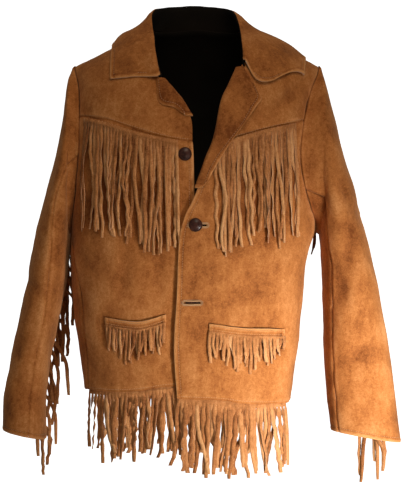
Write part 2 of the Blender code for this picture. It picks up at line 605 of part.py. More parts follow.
def smooth_sleeve(side, angle, along):
    """Smooth inner face of a sleeve: the armhole's line, then leaning ovals."""
    sign = SIGN[side]
    read = {key: read_sleeve(side, key, along) for key in SLEEVE[side]}
    out_x = read["out_x"] - sign * WALL
    in_x = read["in_x"] + sign * WALL
    up, fore = np.cos(angle), np.sin(angle)
    up = np.sign(up) * np.abs(up) ** 0.9
    fore = np.sign(fore) * np.abs(fore) ** 0.9
    x = (out_x + in_x) / 2 + up * (out_x - in_x) / 2
    z = (read["out_z"] + read["in_z"]) / 2 + up * (read["out_z"] - read["in_z"]) / 2
    middle = (read["front"] + read["back"]) / 2
    half = (read["back"] - read["front"]) / 2 - WALL
    tube = np.stack([x, middle - fore * half, z], -1)
    head = armhole_point(side, angle)
    blend = np.clip(along, 0, 1)[..., None]
    return head * (1 - blend) + tube * blend


def armhole_point(side, angle):
    """The armhole's edge on the body, moved out by the gap that the sleeve keeps."""
    top, foot = SHOULDER_TIP_Z - WALL, PIT_Z
    z = (top + foot) / 2 + np.cos(angle) * (top - foot) / 2
    front = armhole_turn(z, "front")
    back = 2 - armhole_turn(z, "back")
    turn = np.where(np.sin(angle) >= 0, front, back)
    centre = smooth(BODY["z"], BODY["centre"], z)
    x = centre + SIGN[side] * (smooth(BODY["z"], BODY["half_width"], z) - WALL) * section(turn)[0]
    place = smooth_body(SIGN[side] * turn, drop_at(x, z), 0.0)
    place[..., 0] += SIGN[side] * ARMHOLE_GAP
    return place


def sleeve_halves(side):
    """Upper and under sleeve, parted at the front and the back seam."""
    along = np.r_[0, 0.5, np.arange(1, RINGS, 0.75)]
    along[-1] = RINGS
    front = np.radians(read_sleeve(side, "front_seam", along))
    back = np.radians(read_sleeve(side, "back_seam", along))
    gap = SLEEVE_SEAM_ANGLE
    f = np.linspace(0, 1, 13)
    upper = (-back + gap)[:, None] * (1 - f) + (front - gap)[:, None] * f
    f = np.linspace(0, 1, 9)
    under = (front + gap)[:, None] * (1 - f) + (2 * math.pi - back - gap)[:, None] * f
    for half, angle in (("upper", upper), ("under", under)):
        points = sleeve(side, angle, along[:, None])
        if side == "right":
            points = points[:, ::-1]
        sheet_object(f"sleeve_{side}_{half}", points, WALL, "suede")


def laid_collar(x, y, z, lift):
    """Places on the shoulders under the collar: read from above, or from the front where
    the chest is steep."""
    steep = np.clip((-y - STEEP_FROM) / (STEEP_TO - STEEP_FROM), 0, 1)[..., None]
    return over_shoulder(x, y, lift) * (1 - steep) + on_body(x, z, lift) * steep


def collar():
    """Stand, roll and fall as one folded band, its visible face towards the neck and up."""
    stations = np.linspace(0, 1, len(COLLAR["neck_x"]))
    at = np.linspace(0, 1, COLLAR_COLUMNS)
    row = {key: smooth(stations, values, at) for key, values in COLLAR.items()}
    neck = over_shoulder(row["neck_x"], row["neck_y"], WALL + 0.0026)
    roll = np.stack([row["roll_x"], row["roll_y"], row["roll_z"]], -1)
    edge = over_shoulder(row["edge_x"], row["edge_y"], 0)
    mid = over_shoulder(row["mid_x"], row["mid_y"], 0)
    away = roll - np.array([0.0, -0.03, 0.0])
    away[:, 2] = 0
    away /= np.linalg.norm(away, axis=-1, keepdims=True)
    neck = neck - away * 0.002
    inner = roll - away * 0.003 - np.array([0, 0, 0.005])
    outer = roll + away * 0.006 - np.array([0, 0, 0.003])
    rows = np.array(COLLAR_ROWS)
    marks = np.stack([neck, inner, roll, outer, mid, edge])
    points = np.stack([np.stack([smooth(COLLAR_MARKS, marks[:, i, axis], rows) for axis in range(3)], -1)
                       for i in range(len(at))], 1)
    rise = np.sin(math.pi * np.clip((rows - COLLAR_MARKS[3]) / (1 - COLLAR_MARKS[3]), 0, 1))
    laid = laid_collar(points[..., 0], points[..., 1], points[..., 2],
                       COLLAR_LIFT + rise[:, None] * row["rise"])
    share = np.clip((rows - COLLAR_MARKS[3]) / (COLLAR_MARKS[4] - COLLAR_MARKS[3]), 0, 1)[:, None, None]
    points = points * (1 - share) + laid * share
    sheet_object("collar", points, COLLAR_WALL, "suede", outward=False)


def lapel(side):
    """Turned-back front: from just inside the roll, round it and out over the panel."""
    table = LAPEL[side]
    count = len(table["roll_x"])
    row_count, outer_columns = LAPEL_GRID[side]
    rows = np.linspace(0, count - 1, row_count)
    row = {key: smooth(np.arange(count), values, rows) for key, values in table.items()}
    sign, over = SIGN[side], OVER[side]
    columns = []
    for past, share, behind in zip(*LAPEL_ROLL.values()):
        up = row["lift"] * share - behind
        columns.append(on_body(row["roll_x"] - sign * past, row["roll_z"], up, over=over))
    start_x = row["roll_x"] - sign * LAPEL_ROLL["past"][-1]
    for f in np.linspace(0, 1, outer_columns)[1:]:
        x = start_x * (1 - f) + row["free_x"] * f
        z = row["roll_z"] * (1 - f) + row["free_z"] * f
        up = row["lift"] * (1 - f) + row["free_lift"] * f + 0.0012 * math.sin(math.pi * f)
        columns.append(on_body(x, z, up, over=over))
    points = np.stack(columns, 1)
    if side == "right":
        points = points[:, ::-1]
    sheet_object(f"lapel_{side}", points, WALL, "suede", outward=False)


def pocket(side):
    """Fringed pocket flap laid on the front, its upper edge standing off a little."""
    table = POCKET[side]
    x = np.linspace(table["x"][0], table["x"][-1], 9)
    top = smooth(table["x"], table["top"], x)
    foot = smooth(table["x"], table["foot"], x)
    f = np.linspace(0, 1, 4)[:, None]
    z = foot * (1 - f) + top * f
    lift = LAID + 0.0005 + 0.0035 * f ** 2 * np.sin(math.pi * np.linspace(0.05, 0.95, 9))
    points = on_body(np.broadcast_to(x, z.shape), z, lift, over=OVER[side])
    sheet_object(f"pocket_{side}", points, WALL, "suede")


def comb(name, top, foot, strands, wall):
    """A narrow strip with strands fused to its lower edge, as one open surface.

    top and foot hold two points for each strand; strands holds, for each of them, rows
    of a left and a right point below its root.
    """
    count, rows = strands.shape[:2]
    points = [top.reshape(-1, 3), foot.reshape(-1, 3), strands.reshape(-1, 3)]
    faces = []
    width = 2 * count
    for i in range(width - 1):
        faces.append((width + i, width + i + 1, i + 1, i))
    for strand in range(count):
        above = (width + 2 * strand, width + 2 * strand + 1)
        for row in range(rows):
            first = 2 * width + (strand * rows + row) * 2
            faces.append((first, first + 1, above[1], above[0]))
            above = (first, first + 1)
    return surface_object(name, np.concatenate(points), faces, wall, "suede_fringe")


def sway(strand, f, reach):
    """Sideways drift of a strand: a slow wave and a lean, different for each strand."""
    lean = math.sin(strand * 2.4) * 0.6 + math.sin(strand * 0.9 + 1.0) * 0.4
    wave = math.sin(strand * 1.7) * np.sin(math.pi * 1.6 * f + strand * 0.8)
    return reach * (lean * f + 0.7 * wave * f)


def laid_fringe(name, xs, root_z, end_z, strip, strand_width, rows, reach, lifts, side):
    """Fringe that hangs over a front panel, in two layers that take turns."""
    count = len(xs)
    top, foot, strands = [], [], []
    for i, x in enumerate(xs):
        z0 = float(root_z(x))
        z1 = float(end_z(x)) + 0.008 * math.sin(i * 2.1)
        half = strand_width / 2
        pair = np.array([x - half, x + half])
        top.append(on_body(pair, np.full(2, z0), lifts[0], over=OVER[side]))
        foot.append(on_body(pair, np.full(2, z0 - strip), lifts[0], over=OVER[side]))
        down = []
        for row in range(1, rows + 1):
            f = row / rows
            shift = sway(i, f, reach)
            z = z0 - strip + (z1 - z0 + strip) * f
            size = half * (1 - 0.35 * f ** 3)
            pair = np.array([x + shift - size, x + shift + size])
            lift = lifts[0] + (lifts[1 + i % 2] - lifts[0]) * min(1, 2.5 * f)
            down.append(on_body(pair, np.full(2, z), lift, over=OVER[side]))
        strands.append(down)
    comb(name, np.array(top), np.array(foot), np.array(strands), STRAND_WALL)


def chest_fringe(side):
    """Long fringe caught in the yoke seam."""
    yoke = YOKE[side]
    ends = RIGHT_CHEST_ENDS if side == "right" else LEFT_CHEST_ENDS
    xs = np.linspace(-0.186, -0.034, 26) if side == "right" else np.linspace(0.034, 0.163, 23)
    laid_fringe(f"fringe_chest_{side}", xs, lambda x: smooth(yoke["x"], yoke["z"], x) - 0.0012,
                lambda x: smooth(ends["x"], ends["z"], x), STRIP, 0.0036, 4, 0.0022,
                (LAID + 0.0004, LAID + 0.0018, LAID + 0.0038), side)


def pocket_fringe(side):
    """Short fringe along the lower edge of a pocket flap."""
    table = POCKET[side]
    ends = RIGHT_POCKET_ENDS if side == "right" else LEFT_POCKET_ENDS
    count = 14 if side == "right" else 18
    xs = np.linspace(table["x"][0] + 0.003, table["x"][-1] - 0.003, count)
    laid_fringe(f"fringe_pocket_{side}", xs, lambda x: smooth(table["x"], table["foot"], x) - 0.0010,
                lambda x: smooth(ends["x"], ends["z"], x), 0.004, 0.0042, 3, 0.0022,
                (LAID + 0.0005, LAID + 0.0006, LAID + 0.0026), side)


def hem_fringe(name, xs, face, hem_z, end_z, over, rows):
    """Fringe below the hem: the strip follows the hem and the strands hang plumb."""
    top, foot, strands = [], [], []
    wide = HEM_STRAND / 2
    for i, x in enumerate(xs):
        z0 = float(hem_z(x)) - HEM_GAP
        z1 = float(end_z(x)) + 0.010 * math.sin(i * 2.3)
        turn = float(turn_at(x, z0, face))
        ahead = smooth_body(np.array([turn - 0.004, turn + 0.004]), np.full(2, drop_at(x, z0)), over)
        way = ahead[1] - ahead[0]
        way[2] = 0
        way /= np.linalg.norm(way)
        centre = on_body(x, z0, 0, face, over)
        low = on_body(x, z0 - STRIP, 0, face, over)
        out = np.array([-way[1], way[0], 0.0])
        out *= -1 if out[1] * centre[1] < 0 else 1
        top.append([centre - way * wide, centre + way * wide])
        foot.append([low - way * wide, low + way * wide])
        down = []
        for row in range(1, rows + 1):
            f = row / rows
            shift = way * sway(i, f, 0.0030) + out * (0.0022 * (i % 2) * min(1, 2.5 * f))
            place = low + shift
            place[2] = low[2] + (z1 - low[2]) * f
            size = wide * (1 - STRAND_TAPER * f ** 3)
            down.append([place - way * size, place + way * size])
        strands.append(down)
    comb(name, np.array(top), np.array(foot), np.array(strands), STRAND_WALL)


def sleeve_fringe(side, count, lanes, spacing, lengths):
    """Fringe caught in the back seam of a sleeve: strands step out, then hang plumb.

    A strand bends to its lane at a depth of its own, each a little behind the one that
    starts below it, so that no two of them meet.
    """
    along = np.linspace(4.6, RINGS - 0.15, count)
    seam = -np.radians(read_sleeve(side, "back_seam", along))
    pairs = along[:, None] + np.array([-0.5, 0.5]) * SLEEVE_STRIP
    turns = np.repeat(seam[:, None], 2, 1)
    base = sleeve(side, turns, pairs, LAID + 0.0012)
    out = sleeve(side, turns, pairs, LAID + 0.0075)
    root = out.mean(1)
    depth = np.maximum(root[:, 1], read_sleeve(side, "back", along) * (side == "left")) + SLEEVE_BEHIND
    for i in range(count - 2, -1, -1):
        depth[i] = max(depth[i], depth[i + 1] + SLEEVE_STEP)
    lane = (np.arange(count) * 5 % lanes) / (lanes - 1)
    lateral = (lane - (0.12 if side == "right" else 0.28)) * spacing * (lanes - 1)
    length = lengths[0] + (lengths[1] - lengths[0]) * (0.5 + 0.5 * np.sin(np.arange(count) * 1.9))
    strands = []
    for i in range(count):
        rows = []
        level = np.array([-1.0 if lateral[i] > 0 else 1.0, 0.0, 0.0])
        for across, down, turned, size in zip(*SLEEVE_BEND.values()):
            place = np.array([root[i, 0] + lateral[i] * across, depth[i],
                              root[i, 2] - length[i] * down])
            way = level * turned - np.array([0.0, 0.0, 1.0 - turned])
            half = way / np.linalg.norm(way) * SLEEVE_STRAND / 2 * size
            rows.append([place - half, place + half])
        strands.append(rows)
    made = comb(f"fringe_sleeve_{side}", base, out, np.array(strands), STRAND_WALL)
    made.modifiers.new("plain_faces", "TRIANGULATE")


def button(name, x, z, over):
    """Domed button: a turned profile on the front's surface, facing forward."""
    points = [(radius, 0, height) for radius, height in zip(*BUTTON.values())]
    mesh = bpy.data.meshes.new(name)
    mesh.from_pydata(points, [(i, i + 1) for i in range(len(points) - 1)], [])
    mesh.materials.append(materials["button_leather"])
    made = bpy.data.objects.new(name, mesh)
    jacket.objects.link(made)
    spin = made.modifiers.new("turn", "SCREW")
    spin.steps = BUTTON_SIDES
    spin.render_steps = BUTTON_SIDES
    spin.use_merge_vertices = True
    spin.merge_threshold = 0.0001
    spin.use_smooth_shade = True
    made.rotation_euler = (math.pi / 2, 0, 0)
    made.location = tuple(on_body(x, z, LAID, over=over))


def buttonhole(name, x0, x1, z):
    """A slit cut through the left front by a flat block."""
    bpy.ops.mesh.primitive_cube_add(size=1.0)
    cutter = bpy.context.object
    cutter.name = name
    cutter.scale = (x1 - x0, 0.02, HOLE_HEIGHT)
    cutter.location = tuple(on_body((x0 + x1) / 2, z, 0, over=1.0))
    cutter.hide_render = True
    cutter.display_type = "WIRE"
    for owner in list(cutter.users_collection):
        owner.objects.unlink(cutter)
    cutters.objects.link(cutter)
    cut = bpy.data.objects["front_left"].modifiers.new(name, "BOOLEAN")
    cut.operation = "DIFFERENCE"
    cut.solver = "EXACT"
    cut.object = cutter


def make_materials():
    made = {}
    for name, (colour, roughness, metallic) in FINISHES.items():
        material = bpy.data.materials.new(name)
        material.use_nodes = True
        shader = material.node_tree.nodes["Principled BSDF"]
        shader.inputs["Base Color"].default_value = colour
        shader.inputs["Roughness"].default_value = roughness
        shader.inputs["Metallic"].default_value = metallic
        made[name] = material
    return made


def add_collection(name):
    made = bpy.data.collections.new(name)
    bpy.context.scene.collection.children.link(made)
    return made


for old in list(bpy.data.objects):
    bpy.data.objects.remove(old)
materials = make_materials()
jacket = add_collection("suede_jacket")
cutters = add_collection("cutters")

for wearer_side in ("right", "left"):
    front_panels(wearer_side)
    sleeve_halves(wearer_side)
    lapel(wearer_side)
    pocket(wearer_side)
    chest_fringe(wearer_side)
    pocket_fringe(wearer_side)
back_panel()
collar()

hem_fringe("fringe_hem_right", np.linspace(-0.183, -0.040, 22), "front",
           lambda x: smooth(RIGHT_HEM["x"], RIGHT_HEM["z"], x),
           lambda x: smooth(RIGHT_HEM_ENDS["x"], RIGHT_HEM_ENDS["z"], x), 0.0, 4)
hem_fringe("fringe_hem_left", np.linspace(-0.030, 0.150, 26), "front",
           lambda x: smooth(LEFT_HEM["x"], LEFT_HEM["z"], x),
           lambda x: smooth(LEFT_HEM_ENDS["x"], LEFT_HEM_ENDS["z"], x), 1.0, 4)
hem_fringe("fringe_hem_back", np.linspace(0.138, -0.170, 25), "back", back_hem,
           lambda x: back_hem(x) - BACK_HEM_STRAND, 0.0, 3)
sleeve_fringe("right", 15, 7, 0.0050, (0.070, 0.102))
sleeve_fringe("left", 15, 9, 0.0062, (0.090, 0.124))

for number, (x, z, over) in enumerate(zip(*BUTTONS.values())):
    button(f"button_{number + 1}", x, z, over)
for number, (x0, x1, z) in enumerate(zip(*HOLES.values())):
    buttonhole(f"hole_{number + 2}", x0, x1, z)
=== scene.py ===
# %% [markdown]
# A fringed suede jacket, filled out as if someone wore it. The fixed frame gives every piece its place:
# each panel here is a thin shell worked out from the same sections, seams and folds as the frame's solids,
# on a grid fine enough to hold stitch grooves, puckers and the unevenness of hide.

# %% The frame
import math

import bpy
import numpy as np
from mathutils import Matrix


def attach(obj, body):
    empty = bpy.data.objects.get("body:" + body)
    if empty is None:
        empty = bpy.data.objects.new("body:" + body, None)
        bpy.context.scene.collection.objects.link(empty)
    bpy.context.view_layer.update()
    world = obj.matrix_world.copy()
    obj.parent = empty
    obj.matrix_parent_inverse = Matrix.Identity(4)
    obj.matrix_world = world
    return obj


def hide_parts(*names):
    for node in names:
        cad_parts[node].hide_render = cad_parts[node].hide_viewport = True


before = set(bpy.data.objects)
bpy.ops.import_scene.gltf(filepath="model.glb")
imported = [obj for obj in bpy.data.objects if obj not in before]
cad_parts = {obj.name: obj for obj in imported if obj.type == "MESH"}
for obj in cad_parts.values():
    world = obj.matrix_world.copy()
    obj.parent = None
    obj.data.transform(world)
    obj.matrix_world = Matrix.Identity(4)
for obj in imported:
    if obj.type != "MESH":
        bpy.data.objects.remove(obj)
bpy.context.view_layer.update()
print("frame nodes:", len(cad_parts))

# %% [markdown]
# The photograph was taken level, from a few metres away, so the camera looks straight at the front with a
# long lens.

# %% The camera
CAMERA_DISTANCE = 3.2
CAMERA_PLACE = (0.00875, -CAMERA_DISTANCE, -0.35)
FRAME_HEIGHT = 0.875
SENSOR = 24.0

camera_data = bpy.data.cameras.new("camera")
camera_data.sensor_fit = "VERTICAL"
camera_data.sensor_height = SENSOR
camera_data.lens = SENSOR * CAMERA_DISTANCE / FRAME_HEIGHT
camera = bpy.data.objects.new("camera", camera_data)
camera.location = CAMERA_PLACE
camera.rotation_euler = (math.pi / 2, 0, 0)
bpy.context.scene.collection.objects.link(camera)
bpy.context.scene.camera = camera
bpy.context.scene.view_settings.view_transform = "Standard"
print("lens", round(camera_data.lens, 1), "mm")

# %% [markdown]
# A jacket's cut is a few sections and lines. The tables hold them in metres: rounded sections of the body
# from the hem up, the armhole and side seam as angles, the free edges of the fronts, the seams and hems as
# heights, and the main creases as lines with a width and a depth.

# %% Sizes and tables of the body
WALL = 0.0018
COLLAR_WALL = 0.0030
STRAND_WALL = 0.0012
SEAM = 0.0003
SHOULDER_TIP = 0.2145
SHOULDER_TIP_Z = -0.0305
SHOULDER_SLOPE = 0.50
NECK_ROUNDING = 0.030
PIT_Z = -0.3170
BACK_NECK_Z = 0.040
CHEST_DROP_AT_ARM = 0.130
CHEST_DROP_AT_NECK = 0.120
CHEST_DROP_REACH = 0.090
LAP = 0.0080
LAP_REACH = 0.080
ARMHOLE_GAP = 0.0036
CHEST_IN_Z = -0.300
BACK_HEM_Z = -0.602
LAID = WALL + SEAM
SEAM_TURN = SEAM / 0.3
SHOULDER_SEAM = 2.5 * SEAM
SLEEVE_SEAM_ANGLE = 0.006
BACK_NECK_ANGLE = 18.6
SHOULDER_ANGLE = 81.0
COLLAR_LIFT = LAID + COLLAR_WALL + 0.0020
STRIP = 0.007

# Horizontal sections of the body, from the hem up, outer sizes
BODY = {
    "z":          (-0.625, -0.525, -0.455, -0.385, -0.345, -0.315, -0.270, -0.200, -0.120,
                   -0.070, -0.030, 0.060),
    "centre":     (-0.016, -0.015, -0.016, -0.015, -0.012, -0.006, -0.009, -0.013, -0.008,
                   -0.003, 0.000, 0.000),
    "half_width": (0.177, 0.190, 0.199, 0.204, 0.208, 0.2125, 0.211, 0.2115, 0.207,
                   0.209, 0.2167, 0.2167),
    "front":      (0.119, 0.122, 0.124, 0.126, 0.127, 0.127, 0.127, 0.126, 0.126,
                   0.126, 0.126, 0.126),
    "back":       (0.120, 0.120, 0.117, 0.114, 0.114, 0.115, 0.117, 0.119, 0.119,
                   0.118, 0.116, 0.116),
}
POWER = 2.5

# Armhole: degrees round the section from the front centre, or from the back centre
ARMHOLE = {
    "z":     (-0.317, -0.300, -0.270, -0.200, -0.120, -0.070, -0.0305),
    "front": (90.0, 82.0, 73.0, 62.5, 67.5, 74.0, 81.0),
    "back":  (90.0, 83.0, 75.0, 66.0, 70.0, 76.0, 81.0),
}
# Side seams: degrees round the section from the front centre
SIDE_SEAM = {
    "z":     (-0.625, -0.500, -0.410, -0.360, -0.335, -0.317),
    "right": (70.0, 63.0, 64.0, 72.0, 80.0, 90.0),
    "left":  (95.0, 97.0, 96.0, 93.0, 91.0, 90.0),
}
# Free edge and neckline of the fronts, from the hem up
RIGHT_EDGE = {
    "z": (-0.600, -0.350, -0.249, -0.182, -0.168, -0.124, -0.0997, -0.079, -0.058, -0.030,
          0.000, 0.032),
    "x": (-0.0047, -0.0047, -0.0047, -0.0064, -0.0075, -0.0115, -0.0268, -0.0421, -0.060, -0.078,
          -0.086, -0.087),
}
LEFT_EDGE = {
    "z": (-0.600, -0.518, -0.417, -0.367, -0.323, -0.291, -0.270, -0.246, -0.199, -0.173,
          -0.148, -0.097, -0.062, -0.030, 0.000, 0.032),
    "x": (-0.0332, -0.0382, -0.0331, -0.0315, -0.028, -0.0187, -0.008, 0.002, 0.0188, 0.0289,
          0.0357, 0.0476, 0.062, 0.079, 0.086, 0.087),
}
# Yoke seams and hems as heights along x
RIGHT_YOKE = {"x": (-0.201, -0.165, -0.113, -0.062, -0.008),
              "z": (-0.122, -0.130, -0.147, -0.1595, -0.168)}
LEFT_YOKE = {"x": (0.030, 0.0425, 0.073, 0.1035, 0.142, 0.184),
             "z": (-0.170, -0.1663, -0.1577, -0.1486, -0.1388, -0.128)}
RIGHT_HEM = {"x": (-0.190, -0.148, -0.104, -0.045, -0.005),
             "z": (-0.589, -0.590, -0.588, -0.580, -0.579)}
LEFT_HEM = {"x": (-0.035, 0.029, 0.083, 0.130, 0.165),
            "z": (-0.5995, -0.6035, -0.610, -0.611, -0.6125)}

# Folds of the body: a soft trough (depth below zero) or ridge along a line
BODY_FOLDS = {
    "face":  ("front", "front", "front", "front", "front", "front",
              "back", "back", "back", "back", "back", "back"),
    "x0":    (0.184, 0.066, -0.1196, -0.060, 0.030, -0.150,
              -0.120, 0.118, -0.055, 0.070, -0.175, 0.165),
    "z0":    (-0.057, -0.346, -0.350, -0.330, -0.330, -0.200,
              -0.110, -0.120, -0.320, -0.350, -0.330, -0.345),
    "x1":    (0.1295, 0.123, -0.124, -0.064, 0.095, -0.185,
              -0.150, 0.150, -0.070, 0.050, -0.080, 0.085),
    "z1":    (-0.115, -0.451, -0.420, -0.440, -0.370, -0.300,
              -0.260, -0.250, -0.520, -0.500, -0.400, -0.390),
    "width": (0.010, 0.015, 0.011, 0.012, 0.012, 0.013,
              0.016, 0.014, 0.022, 0.019, 0.014, 0.013),
    "depth": (-0.0045, -0.0035, -0.0030, -0.0025, -0.0025, -0.0030,
              -0.0045, -0.0040, -0.0040, 0.0035, -0.0040, -0.0035),
}
# %% [markdown]
# Reading the cut: a cubic curve through a table's rows gives any size in between. A point of the body is
# found from a turn round the section and a drop down the cloth from the shoulder line. The creases are added
# along the surface's normal, so they stay soft troughs and ridges wherever they run.

# %% Surface of the body
def smooth(keys, values, at):
    """Cubic curve through the rows of a table, read at the places given."""
    keys = np.asarray(keys, float)
    values = np.asarray(values, float)
    if keys[0] > keys[-1]:
        keys, values = keys[::-1], values[::-1]
    slope = np.gradient(values, keys)
    at = np.clip(at, keys[0], keys[-1])
    left = np.clip(np.searchsorted(keys, at, side="right") - 1, 0, len(keys) - 2)
    span = keys[left + 1] - keys[left]
    f = (at - keys[left]) / span
    return ((1 + 2 * f) * (1 - f) ** 2 * values[left] + f * (1 - f) ** 2 * span * slope[left]
            + f * f * (3 - 2 * f) * values[left + 1] + f * f * (f - 1) * span * slope[left + 1])


def ridge_height(x):
    """Height of the shoulder line: a slope from the tip to the neck, rounded at the middle."""
    tip = math.hypot(SHOULDER_TIP, NECK_ROUNDING)
    return SHOULDER_TIP_Z - WALL + SHOULDER_SLOPE * (tip - np.sqrt(x * x + NECK_ROUNDING ** 2))


def chest_drop(x):
    """Height over which the chest and back run out from the shoulder line to full depth."""
    return CHEST_DROP_AT_ARM + CHEST_DROP_AT_NECK * np.exp(-(x / CHEST_DROP_REACH) ** 2)


def section(turn):
    """Sine and cosine of a rounded section; turn is 0 at the front centre, 1 and -1 at the
    sides and 2 at the back centre."""
    size = np.abs(turn)
    fold = np.where(size > 1, 2 - size, size)
    angle = math.pi / 2 * np.clip(fold, 0, 1) ** (POWER / 2)
    across = np.sign(turn) * np.sin(angle) ** (2 / POWER)
    along = np.cos(angle) ** (2 / POWER) * np.where(size > 1, -1, 1)
    return across, along


def turn_of_angle(degrees):
    """The turn value of an angle from the front or back centre, past a side as well."""
    folded = np.where(degrees > 90, 180 - degrees, degrees)
    size = (np.radians(folded) / (math.pi / 2)) ** (2 / POWER)
    return np.where(degrees > 90, 2 - size, size)


def smooth_body(turn, drop, over):
    """Smooth inner face of the body; drop runs down the cloth from the shoulder line."""
    across, along = section(turn)
    x = across * SHOULDER_TIP
    for _ in range(5):
        reach = chest_drop(x)
        curved = np.clip(drop / reach, -math.pi / 2, math.pi / 2)
        straight = np.maximum(np.abs(drop) - reach * math.pi / 2, 0)
        z = ridge_height(x) - reach * (1 - np.cos(curved)) - straight
        x = smooth(BODY["z"], BODY["centre"], z) + (smooth(BODY["z"], BODY["half_width"], z) - WALL) * across
    lap = over * LAP * np.exp(-((x + 0.015) / LAP_REACH) ** 4)
    front = smooth(BODY["z"], BODY["front"], z) + lap
    depth = np.where(along >= 0, front, smooth(BODY["z"], BODY["back"], z)) - WALL
    return np.stack([x, -depth * along * np.sin(curved), z], -1)


def body(turn, drop, lift=0.0, over=0.0, laid=False):
    """Folded inner face of the body, moved out along its normal by lift; what is laid on
    the cloth bridges its troughs."""
    turn, drop = np.broadcast_arrays(np.asarray(turn, float), np.asarray(drop, float))
    step = 1e-4
    place = smooth_body(turn, drop, over)
    round_way = smooth_body(turn + step, drop, over) - smooth_body(turn - step, drop, over)
    down_way = smooth_body(turn, drop + step, over) - smooth_body(turn, drop - step, over)
    normal = np.cross(down_way, round_way)
    normal /= np.linalg.norm(normal, axis=-1, keepdims=True)
    face = np.where(place[..., 1] < 0, "front", "back")
    move = fold_depth(BODY_FOLDS, place[..., 0], place[..., 2], face)
    move = (np.maximum(move, 0) if laid else move) + lift
    return place + normal * move[..., None]


def fold_depth(folds, x, z, face, side=None):
    """Sum of soft troughs and ridges: a bell across each fold's line, fading past its ends."""
    total = np.zeros_like(x)
    for row in range(len(folds["x0"])):
        if side is not None and folds["side"][row] != side:
            continue
        ax, az = folds["x0"][row], folds["z0"][row]
        bx, bz = folds["x1"][row] - ax, folds["z1"][row] - az
        f = np.clip(((x - ax) * bx + (z - az) * bz) / (bx * bx + bz * bz), 0, 1)
        far = np.hypot(x - ax - f * bx, z - az - f * bz) / folds["width"][row]
        swell = 0.55 + 0.45 * np.sin(math.pi * f)
        total += np.where(face == folds["face"][row], folds["depth"][row] * swell * np.exp(-far * far), 0)
    return total


def drop_at(x, z):
    """Distance down the cloth at a given x and height."""
    x, z = np.asarray(x, float), np.asarray(z, float)
    reach = chest_drop(x)
    fall = np.maximum(ridge_height(x) - z, 0)
    curved = reach * np.arccos(np.clip(1 - fall / reach, 0, 1))
    return np.where(fall < reach, curved, reach * math.pi / 2 + fall - reach)


def turn_at(x, z, face="front"):
    """The turn value at a given x and height."""
    x, z = np.asarray(x, float), np.asarray(z, float)
    across = (x - smooth(BODY["z"], BODY["centre"], z)) / (smooth(BODY["z"], BODY["half_width"], z) - WALL)
    size = (np.arcsin(np.clip(np.abs(across), 0, 1) ** (POWER / 2)) / (math.pi / 2)) ** (2 / POWER)
    return np.sign(across) * (size if face == "front" else 2 - size)


def on_body(x, z, lift, face="front", over=0.0):
    """The point of the body at x and height z, seen from the front or the back."""
    return body(turn_at(x, z, face), drop_at(x, z), lift, over, laid=True)

def over_shoulder(x, y, lift):
    """The point of the body above a place x, y of the plan, near the shoulder line."""
    x, y = np.asarray(x, float), np.asarray(y, float)
    z = ridge_height(x)
    for _ in range(6):
        centre = smooth(BODY["z"], BODY["centre"], z)
        across = np.clip(np.abs(x - centre) / (smooth(BODY["z"], BODY["half_width"], z) - WALL), 0, 0.999)
        front, back = smooth(BODY["z"], BODY["front"], z), smooth(BODY["z"], BODY["back"], z)
        depth = np.where(y < 0, front, back) - WALL
        full = depth * (1 - across ** POWER) ** (1 / POWER)
        slope = np.arcsin(np.clip(np.abs(y) / full, 0, 1))
        z = ridge_height(x) - chest_drop(x) * (1 - np.cos(slope))
    size = (np.arcsin(across ** (POWER / 2)) / (math.pi / 2)) ** (2 / POWER)
    turn = np.sign(x - centre) * np.where(y < 0, size, 2 - size)
    return body(turn, chest_drop(x) * slope, lift, laid=True)

def armhole_turn(z, face):
    """The turn value of the armhole at a height, on the front or the back."""
    return turn_of_angle(smooth(ARMHOLE["z"], ARMHOLE[face], z))


def outer_line(side, heights):
    """Turn values of a front panel's outer edge: side seam, then armhole."""
    seam = turn_of_angle(smooth(SIDE_SEAM["z"], SIDE_SEAM[side], heights))
    return np.where(heights < PIT_Z, seam, armhole_turn(heights, "front"))

# %% [markdown]
# Pockets, the ends of the strands, buttons and buttonholes need only a few numbers each. The ends are uneven
# lines, because the strands of real fringe are cut by hand.

# %% Small tables of pockets, strands, buttons and holes
# Pocket flaps: upper edge along x
RIGHT_POCKET = {"x": (-0.154, -0.125, -0.096, -0.052),
                "top": (-0.4640, -0.4685, -0.4700, -0.4585)}
LEFT_POCKET = {"x": (0.021, 0.045, 0.081, 0.125, 0.147),
               "top": (-0.4735, -0.4770, -0.4815, -0.4830, -0.4850)}

# Ends of the strands: lowest point along x
RIGHT_CHEST_ENDS = {"x": (-0.187, -0.150, -0.110, -0.087, -0.055, -0.033),
                    "z": (-0.318, -0.320, -0.332, -0.344, -0.351, -0.337)}
LEFT_CHEST_ENDS = {"x": (0.030, 0.055, 0.085, 0.118, 0.130, 0.160),
                   "z": (-0.350, -0.353, -0.331, -0.321, -0.338, -0.325)}
RIGHT_POCKET_ENDS = {"x": (-0.158, -0.138, -0.116, -0.096, -0.070, -0.052),
                     "z": (-0.511, -0.520, -0.533, -0.534, -0.522, -0.512)}
LEFT_POCKET_ENDS = {"x": (0.020, 0.052, 0.082, 0.110, 0.147),
                    "z": (-0.528, -0.540, -0.547, -0.541, -0.528)}
RIGHT_HEM_ENDS = {"x": (-0.190, -0.160, -0.120, -0.090, -0.065, -0.040),
                  "z": (-0.686, -0.700, -0.704, -0.690, -0.688, -0.702)}
LEFT_HEM_ENDS = {"x": (-0.035, 0.000, 0.045, 0.090, 0.130, 0.165),
                 "z": (-0.716, -0.728, -0.722, -0.728, -0.722, -0.712)}
BACK_HEM_STRAND = 0.108

# Buttons: x and height of the middle, and whether the button lies on the lapped front
BUTTONS = {"x": (-0.0198, -0.0020, -0.0070), "z": (-0.1886, -0.3080, -0.4387), "over": (0.0, 1.0, 0.0)}
